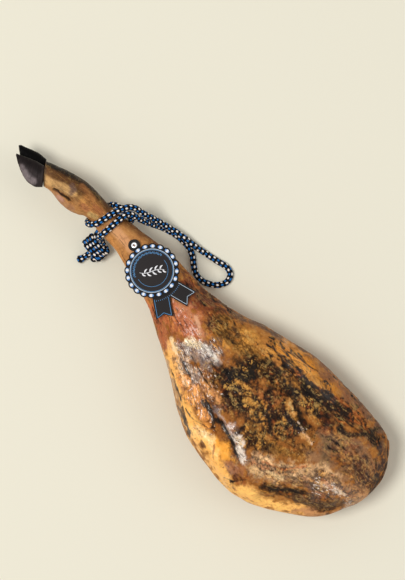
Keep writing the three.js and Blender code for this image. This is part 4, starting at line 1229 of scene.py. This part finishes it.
def rope_material():
    n = Nodes("braided_rope")
    parts = n.node("ShaderNodeSeparateXYZ")
    n.put(parts.inputs[0], n.value("braid", "Vector"))
    along, row = parts.outputs[0], parts.outputs[1]
    u = n.math("DIVIDE", n.sub(n.math("FRACT", along), 0.5), FLECK_LONG)
    v = n.math("DIVIDE", n.sub(n.math("FRACT", row), 0.5), FLECK_WIDE)
    oval = n.add(n.mul(u, u), n.mul(v, v))
    fibre = n.noise(n.scaled(n.value("braid", "Vector"), (2.6, 9.0, 1.0)), 1.0, 3, 0.6)
    ragged = n.add(oval, n.mul(n.sub(fibre, 0.5), 0.9))
    fleck = n.range(ragged, 0.85, 1.1, 1.0, 0.0)
    number = n.add(n.math("FLOOR", along), n.math("FLOOR", row))
    white = n.math("GREATER_THAN", n.math("FRACT", n.mul(number, 0.5)), 0.25)
    colour = n.mix(white, linear(*ROPE_BLUE), linear(*ROPE_WHITE))
    colour = n.mix(n.range(fibre, 0.3, 0.5, 0.35, 0.0), colour, linear(*ROPE_SHADE))
    black = n.mix(n.range(fibre, 0.5, 0.8), linear(*ROPE_BLACK), linear(*ROPE_WORN))
    colour = n.mix(fleck, black, colour)
    colour = n.over(colour, n.value("cut"), 0.85, ROPE_CUT)
    n.set(Base_Color=colour, Roughness=0.75, Specular_IOR_Level=0.15)
    n.set(Normal=n.bump(fibre, 0.0005, 0.6))
    return n.material


def rope_line():
    """The whole rope's line, and how far along it the loop starts and ends."""
    route = LOWER_ROUTE[::-1] + LOOP_ROUTE[1:] + UPPER_ROUTE[1:]
    line, run = smooth_path(route, ROPE_STEP)
    ends = LOOP_ROUTE[0], LOOP_ROUTE[-1]
    return line, run, [int(np.argmin(np.linalg.norm(line - np.array(end), axis=1))) for end in ends]


def knot_line():
    """The knot's turns: an oval coil about the knot's axis, tucked in at both ends."""
    start, end = np.array(KNOT_START, float), np.array(KNOT_END, float)
    axis = unit(end - start)
    length = np.linalg.norm(end - start)
    side = unit([axis[1], -axis[0], 0])
    up = np.cross(side, axis)
    up = up if up[2] > 0 else -up
    pitch = length / KNOT_TURNS
    wide = (KNOT_CORE + ROPE_DIAMETER / 2) * KNOT_WIDENING - ROPE_DIAMETER / 2
    route = []
    last = KNOT_POINTS * KNOT_TURNS + 2 * KNOT_EXTRA_POINTS
    for k in range(last + 1):
        turned = (k - KNOT_EXTRA_POINTS) / KNOT_POINTS
        turn = 2 * np.pi * turned
        depth = np.clip(pitch * turned, pitch * KNOT_END_SHARE, length - pitch * KNOT_END_SHARE)
        tuck = KNOT_TUCK if k in (0, last) else 1.0
        around = tuck * (-wide * np.cos(turn) * side + KNOT_CORE * np.sin(turn) * up)
        route.append(start + axis * depth + around)
    return smooth_path(route, ROPE_STEP)


def make_rope():
    material = rope_material()
    line, run, (out, back) = rope_line()
    lower = braided("rope_strand_lower", line[: out + 1], run[: out + 1], material, (False, False))
    loop = braided("rope_free_loop", line[out : back + 1], run[out : back + 1], material, (False, False))
    upper = braided("rope_strand_upper", line[back:], run[back:], material, (False, False))
    turns = braided("rope_knot_turns", *knot_line(), material)
    long_tail = braided("rope_knot_long_end", *smooth_path(LONG_TAIL, ROPE_STEP), material, flare=FLARE)
    short_tail = braided("rope_knot_short_end", *smooth_path(SHORT_TAIL, ROPE_STEP), material)
    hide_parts("rope_lower")
    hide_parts("rope_loop")
    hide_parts("rope_upper")
    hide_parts("rope_knot")


# The tag
def card_place(points):
    """Points from the card's own plane, in millimetres, to the frame, with the card's gentle bend."""
    p = np.asarray(points, dtype=float)
    u, v, w = p[:, 0], p[:, 1], p[:, 2]
    w = w - CARD_BOW * (v / DISC_RADIUS) ** 2 + CARD_CURL * smooth(u, DISC_RADIUS, TAIL_REACH)
    tilt, heading = math.radians(CARD_TILT), math.radians(CARD_HEADING)
    x = u * math.cos(tilt) - w * math.sin(tilt)
    z = u * math.sin(tilt) + w * math.cos(tilt)
    return np.stack([
        CARD_MIDDLE[0] + x * math.cos(heading) - v * math.sin(heading),
        CARD_MIDDLE[1] + x * math.sin(heading) + v * math.cos(heading),
        CARD_HEIGHT + z,
    ], axis=1)


def round_outline(middle, radius, count):
    turns = np.linspace(0, 2 * np.pi, count, endpoint=False)
    return [(middle + radius * math.cos(t), radius * math.sin(t)) for t in turns]


def disc_outline():
    count = SCALLOPS * SCALLOP_POINTS
    outline = []
    for k in range(count):
        t = 2 * math.pi * k / count
        out = DISC_RADIUS + SCALLOP_DEPTH * abs(math.cos(t * SCALLOPS / 2))
        outline.append((out * math.cos(t), out * math.sin(t)))
    return outline


def tail_point(side, reach, sideways):
    """A place on one ribbon tail: how far from the middle, and how far to the outside of the tail."""
    turn = side * math.radians(TAIL_SPREAD)
    along, across = (math.cos(turn), math.sin(turn)), (-math.sin(turn), math.cos(turn))
    off = side * (sideways - TAIL_INSET)
    return along[0] * reach + across[0] * off, along[1] * reach + across[1] * off


def tail_outline(side):
    half = TAIL_WIDTH / 2
    outline = [
        tail_point(side, DISC_RADIUS / 2, -half),
        tail_point(side, TAIL_REACH, -half),
        tail_point(side, TAIL_REACH - TAIL_NOTCH, 0),
        tail_point(side, TAIL_REACH, half),
        tail_point(side, DISC_RADIUS / 2, half),
    ]
    return outline if side > 0 else outline[::-1]


def card_triangles():
    """The card's flat outline with its hole, cut into small triangles that can follow its bend."""
    tab = round_outline(-TAB_OFFSET, TAB_RADIUS, TAB_POINTS)
    loops = [disc_outline(), tab, tail_outline(1), tail_outline(-1)]
    hole = round_outline(-TAB_OFFSET, EYELET_HOLE, HOLE_POINTS)
    points, faces, edges = [], [], []
    for loop in loops:
        faces.append(list(range(len(points), len(points) + len(loop))))
        points += loop
    first = len(points)
    points += hole
    edges += [(first + k, first + (k + 1) % len(hole)) for k in range(len(hole))]
    for u in np.arange(-TAB_OFFSET - TAB_RADIUS, TAIL_REACH, CARD_GRID):
        for v in np.arange(-TAIL_REACH / 2, TAIL_REACH / 2 + 10, CARD_GRID):
            points.append((u, v))
    made = delaunay_2d_cdt([Vector(p) for p in points], edges, faces, 1, 1e-4)
    flat = np.array([tuple(v) for v in made[0]])
    triangles = []
    for triangle in made[2]:
        middle = flat[list(triangle)].mean(axis=0)
        if np.hypot(middle[0] + TAB_OFFSET, middle[1]) > EYELET_HOLE:
            triangles.append(list(triangle))
    return flat, triangles


def card_material():
    n = Nodes("printed_card")
    parts = n.node("ShaderNodeSeparateXYZ")
    n.put(parts.inputs[0], n.value("card", "Vector"))
    u, v = parts.outputs[0], parts.outputs[1]
    away = n.math("SQRT", n.add(n.mul(u, u), n.mul(v, v)))
    rim = n.mul(n.range(away, *BAND_FROM), n.range(away, *BAND_TO, 1.0, 0.25))
    paper = n.noise(n.place(), 900, 3, 0.6)
    colour = n.mix(n.range(paper, 0.35, 0.7), linear(*PAPER_DARK), linear(*PAPER_LIGHT))
    colour = n.over(colour, rim, 0.9, BAND_BLACK)
    n.set(Base_Color=colour, Roughness=n.range(paper, 0.3, 0.7, 0.5, 0.62), Specular_IOR_Level=0.14)
    n.set(Normal=n.bump(paper, 0.00008, 0.5))
    return n.material


def ink_material():
    n = Nodes("printing_ink")
    paper = n.noise(n.place(), 900, 3, 0.6)
    ink = n.value("ink", "Color")
    worn = n.range(paper, 0.4, 0.75, 0.0, 0.15)
    n.set(Base_Color=n.mix(worn, ink, linear(*INK_WORN)), Roughness=0.5)
    return n.material


class Printing:
    """Gathers the raised prints of the tag into one mesh."""

    def __init__(self):
        self.points = []
        self.faces = []
        self.inks = []

    def line(self, points, width, ink, closed=False):
        """A printed line; the width may change along it."""
        p = np.array(points, dtype=float)
        widths = np.broadcast_to(np.asarray(width, dtype=float), len(p))
        if closed:
            step = np.roll(p, -1, axis=0) - np.roll(p, 1, axis=0)
        else:
            step = np.gradient(p, axis=0)
        step /= np.linalg.norm(step, axis=1)[:, None]
        aside = np.stack([-step[:, 1], step[:, 0]], axis=1) * widths[:, None] / 2
        first = len(self.points)
        low, high = CARD_THICKNESS - 0.02, CARD_THICKNESS + INK_RISE
        for at, off in zip(p, aside):
            for share, up in ((-1, low), (-0.8, high), (0.8, high), (1, low)):
                self.points.append((*(at + off * share), up))
            self.inks += [ink] * 4
        for k in range(len(p) if closed else len(p) - 1):
            a, b = first + 4 * k, first + 4 * ((k + 1) % len(p))
            self.faces += [[a + j, b + j, b + j + 1, a + j + 1] for j in range(3)]

    def bead(self, angle, radius, half_long, half_wide):
        """An oval bead across the border, white in the middle and blue towards both ends."""
        first = len(self.points)
        out = np.array([math.cos(angle), math.sin(angle)])
        round_way = np.array([-out[1], out[0]])
        rings = (0.0, 0.35, 0.7, 1.0)
        for ring in rings:
            for k in range(BEAD_POINTS):
                t = 2 * math.pi * k / BEAD_POINTS
                along, across = ring * math.cos(t), ring * math.sin(t)
                at = out * (radius + across * half_wide) + round_way * along * half_long
                rise = CARD_THICKNESS + (INK_RISE * 2) * (1 - ring**3) + 0.01
                self.points.append((at[0], at[1], rise))
                blue = float(smooth(abs(along + 0.12), 0.25, 0.8))
                self.inks.append(tuple(np.array(INK_WHITE) * (1 - blue) + np.array(INK_BLUE) * blue))
        for r in range(len(rings) - 1):
            ring_first = first + BEAD_POINTS * r
            for k in range(BEAD_POINTS):
                a, b = ring_first + k, ring_first + (k + 1) % BEAD_POINTS
                self.faces.append([a, a + BEAD_POINTS, b + BEAD_POINTS, b])

    def build(self):
        points = card_place(self.points)
        piece = new_object("tag_printing", points, self.faces)
        add_colours(piece, "ink", np.array([linear(*ink)[:3] for ink in self.inks]))
        piece.data.materials.append(ink_material())


def label_point(right, up):
    """A place on the card, given to the right and upwards as the label is read."""
    turn = PHOTO_TURN - math.radians(CARD_HEADING)
    return right * math.cos(turn) - up * math.sin(turn), right * math.sin(turn) + up * math.cos(turn)


def arc(radius, start, end, count):
    turns = np.radians(np.linspace(start, end, count))
    return [label_point(radius * math.cos(t), radius * math.sin(t)) for t in turns]


def print_borders(printing):
    for k in range(SCALLOPS):
        printing.bead(2 * math.pi * k / SCALLOPS, BEAD_RADIUS, BEAD_HALF_LONG, BEAD_HALF_WIDE)
    printing.line(arc(PALE_RING_RADIUS, 0, 360, RING_LINE_POINTS)[:-1], WIDE_LINE, INK_PALE, closed=True)
    printing.line(arc(SKY_RING_RADIUS, 0, 360, RING_LINE_POINTS)[:-1], THIN_LINE, INK_SKY, closed=True)
    printing.line(arc(ARC_RADIUS, *ARC_DEGREES, ARC_LINE_POINTS), ARC_LINE, INK_SKY)
    for k, degrees in enumerate(np.linspace(*MARK_DEGREES, MARK_COUNT)):
        low, high = MARK_RADII[k % 3]
        t = math.radians(degrees)
        ends = [label_point(r * math.cos(t), r * math.sin(t)) for r in (low, (low + high) / 2, high)]
        printing.line(ends, MARK_LINE, INK_SKY)
    for side in (-1, 1):
        print_tail(printing, side)
    for degrees in np.linspace(-STITCH_DEGREES, STITCH_DEGREES, STITCH_COUNT):
        t = math.radians(degrees)
        ends = [(r * math.cos(t), r * math.sin(t)) for r in STITCH_RADII]
        printing.line(ends, THIN_LINE, INK_SKY)


def print_tail(printing, side):
    """The line that runs round one ribbon tail, just inside its edge."""
    inner, outer = TAIL_WIDTH / 2 - TAIL_MARGIN, -TAIL_WIDTH / 2 + TAIL_MARGIN
    end = TAIL_REACH - TAIL_MARGIN
    back, aside = TAIL_CORNER
    corners = [(TAIL_LINE_FROM, inner), (end - back, inner), (end, inner - aside), (end - TAIL_NOTCH, 0),
               (end, outer + aside), (end - back, outer), (TAIL_LINE_FROM, outer)]
    outline = []
    for (r0, s0), (r1, s1) in zip(corners, corners[1:]):
        for t in np.arange(0, 1, TAIL_LINE_STEP):
            outline.append(tail_point(side, r0 + (r1 - r0) * t, s0 + (s1 - s0) * t))
    outline.append(tail_point(side, *corners[-1]))
    printing.line(outline, THIN_LINE, INK_PALE if side > 0 else INK_SKY)


def stem_at(s):
    """A place on the sprig's stem, from -1 at its left end to 1 at its right one."""
    return np.array([STEM_HALF_LENGTH * s, STEM_RISE * math.sin(STEM_WAVE * s) - 1])


def print_sprig(printing):
    """A plain leafy sprig in the middle, lying to the right."""
    t = np.linspace(-1, 1, 40)
    printing.line([label_point(*stem_at(s)) for s in t], 0.5 + 0.5 * (1 - t**2), INK_WHITE)
    for k, s in enumerate(np.linspace(-0.78, 0.86, LEAF_COUNT)):
        way = 1 if k % 2 else -1
        lean = math.radians(LEAF_LEAN * way + 12)
        reach = LEAF_LENGTH - 2.2 * abs(s)
        leaf = []
        for r in np.linspace(0, 1, LEAF_POINTS):
            bend = LEAF_BEND * way * math.sin(math.pi * r)
            off = np.array([math.cos(lean) * reach * r - math.sin(lean) * bend,
                            math.sin(lean) * reach * r + math.cos(lean) * bend])
            leaf.append(label_point(*(stem_at(s) + off)))
        widths = 0.35 + LEAF_WIDTH * np.sin(np.pi * np.linspace(0.04, 0.97, LEAF_POINTS)) ** 0.9
        printing.line(leaf, widths, INK_WHITE)


def make_card():
    flat, triangles = card_triangles()
    count = len(flat)
    top = card_place(np.column_stack([flat, np.full(count, CARD_THICKNESS)]))
    low = card_place(np.column_stack([flat, np.zeros(count)]))
    edges = {}
    for triangle in triangles:
        for a, b in zip(triangle, triangle[1:] + triangle[:1]):
            edges[(a, b)] = edges.get((a, b), 0) + 1
    walls = [[a, b, b + count, a + count][::-1] for a, b in edges if (b, a) not in edges]
    faces = triangles + [[c + count for c in triangle[::-1]] for triangle in triangles] + walls
    piece = new_object("tag_card_body", np.concatenate([top, low]), faces)
    piece.data.polygons.foreach_set("use_smooth", [False] * len(piece.data.polygons))
    add_vectors(piece, "card", np.tile(np.column_stack([flat, np.zeros(count)]), (2, 1)))
    piece.data.materials.append(card_material())
    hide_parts("tag_card")


def make_eyelet():
    low, high = -EYELET_PLAY, CARD_THICKNESS + EYELET_PLAY
    under = low - EYELET_BACK
    profile = [(EYELET_BORE, under), (EYELET_FLANGE, under), (EYELET_FLANGE, low),
               (EYELET_BARREL, low), (EYELET_BARREL, high), (EYELET_FLANGE, high)]
    middle, half = (EYELET_FLANGE + EYELET_BORE) / 2, (EYELET_FLANGE - EYELET_BORE) / 2
    for t in np.pi * np.arange(EYELET_LIP_POINTS) / (EYELET_LIP_POINTS - 1):
        up = high + EYELET_LIP_FOOT + EYELET_LIP * math.sin(t) ** 0.8
        profile.append((middle + half * math.cos(t), up))
    turns = np.linspace(0, 2 * np.pi, EYELET_SIDES, endpoint=False)
    points = [(out * math.cos(t) - TAB_OFFSET, out * math.sin(t), up) for out, up in profile for t in turns]
    faces = tube_faces(len(profile), EYELET_SIDES, caps=False)
    last = (len(profile) - 1) * EYELET_SIDES
    for k in range(EYELET_SIDES):
        nxt = (k + 1) % EYELET_SIDES
        faces.append([last + k, last + nxt, nxt, k])
    piece = new_object("tag_eyelet_ring", card_place(points), faces)
    n = Nodes("bright_metal")
    wear = n.noise(n.place(), 700, 3, 0.6)
    n.set(Base_Color=n.mix(wear, linear(*METAL_LIGHT), linear(*METAL_DARK)), Metallic=0.75)
    n.set(Roughness=n.range(wear, 0.3, 0.7, 0.22, 0.4))
    piece.data.materials.append(n.material)
    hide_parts("tag_eyelet")


def make_tag():
    make_card()
    make_eyelet()
    printing = Printing()
    print_borders(printing)
    print_sprig(printing)
    printing.build()


# The floor, the lights and the camera
FLOOR_SIZE = 12
FLOOR_COLOUR = (233, 229, 212)
WORLD_COLOUR = (1.0, 0.99, 0.97, 1)
WORLD_STRENGTH = 0.48
LIGHTS_AIM = (0.05, 0, 0.05)
KEY_LIGHT = {"place": (-1.6, -1.8, 6.4), "size": 2.4, "power": 258, "colour": (1, 0.985, 0.96)}
FILL_LIGHT = {"place": (2.2, 2.6, 3.6), "size": 2.8, "power": 22, "colour": (1, 1, 1)}


def make_stage():
    bpy.ops.mesh.primitive_plane_add(size=FLOOR_SIZE, location=(0, 0, 0))
    floor = bpy.context.object
    floor.name = "floor"
    n = Nodes("pale_floor")
    n.set(Base_Color=linear(*FLOOR_COLOUR), Roughness=0.9, Specular_IOR_Level=0.1)
    floor.data.materials.append(n.material)
    world = bpy.data.worlds.new("soft_world")
    world.use_nodes = True
    sky = world.node_tree.nodes["Background"].inputs
    sky["Color"].default_value = WORLD_COLOUR
    sky["Strength"].default_value = WORLD_STRENGTH
    bpy.context.scene.world = world


def area_light(name, place, size, power, colour):
    data = bpy.data.lights.new(name, "AREA")
    data.shape = "DISK"
    data.size = size
    data.energy = power
    data.color = colour
    light = bpy.data.objects.new(name, data)
    light.location = place
    light.rotation_euler = (Vector(LIGHTS_AIM) - Vector(place)).to_track_quat("-Z", "Y").to_euler()
    bpy.context.scene.collection.objects.link(light)


def make_lights():
    area_light("key", **KEY_LIGHT)
    area_light("fill", **FILL_LIGHT)


def make_camera():
    data = bpy.data.cameras.new("camera")
    camera = bpy.data.objects.new("camera", data)
    x, y = photo_to_frame(*PHOTO_MIDDLE)
    camera.location = (x * MM, y * MM, CAMERA_DISTANCE + SHANK_AXIS_HEIGHT * MM)
    camera.rotation_euler = (0, 0, PHOTO_TURN)
    data.lens = CAMERA_DISTANCE * data.sensor_width / (PHOTO_TALL * PHOTO_MM * MM)
    bpy.context.scene.collection.objects.link(camera)
    bpy.context.scene.camera = camera


make_stage()
make_camera()
make_lights()
bpy.context.scene.view_settings.view_transform = "Standard"
make_ham()
horn = horn_material()
make_claw("claw_near_horn", "claw_near", NEAR_CLAW, CLAW_HEIGHT_NEAR, HORN_TONES, horn)
make_claw("claw_far_horn", "claw_far", FAR_CLAW, CLAW_HEIGHT_FAR, FAR_HORN_SHADE_TONES, horn)
make_rope()
make_tag()
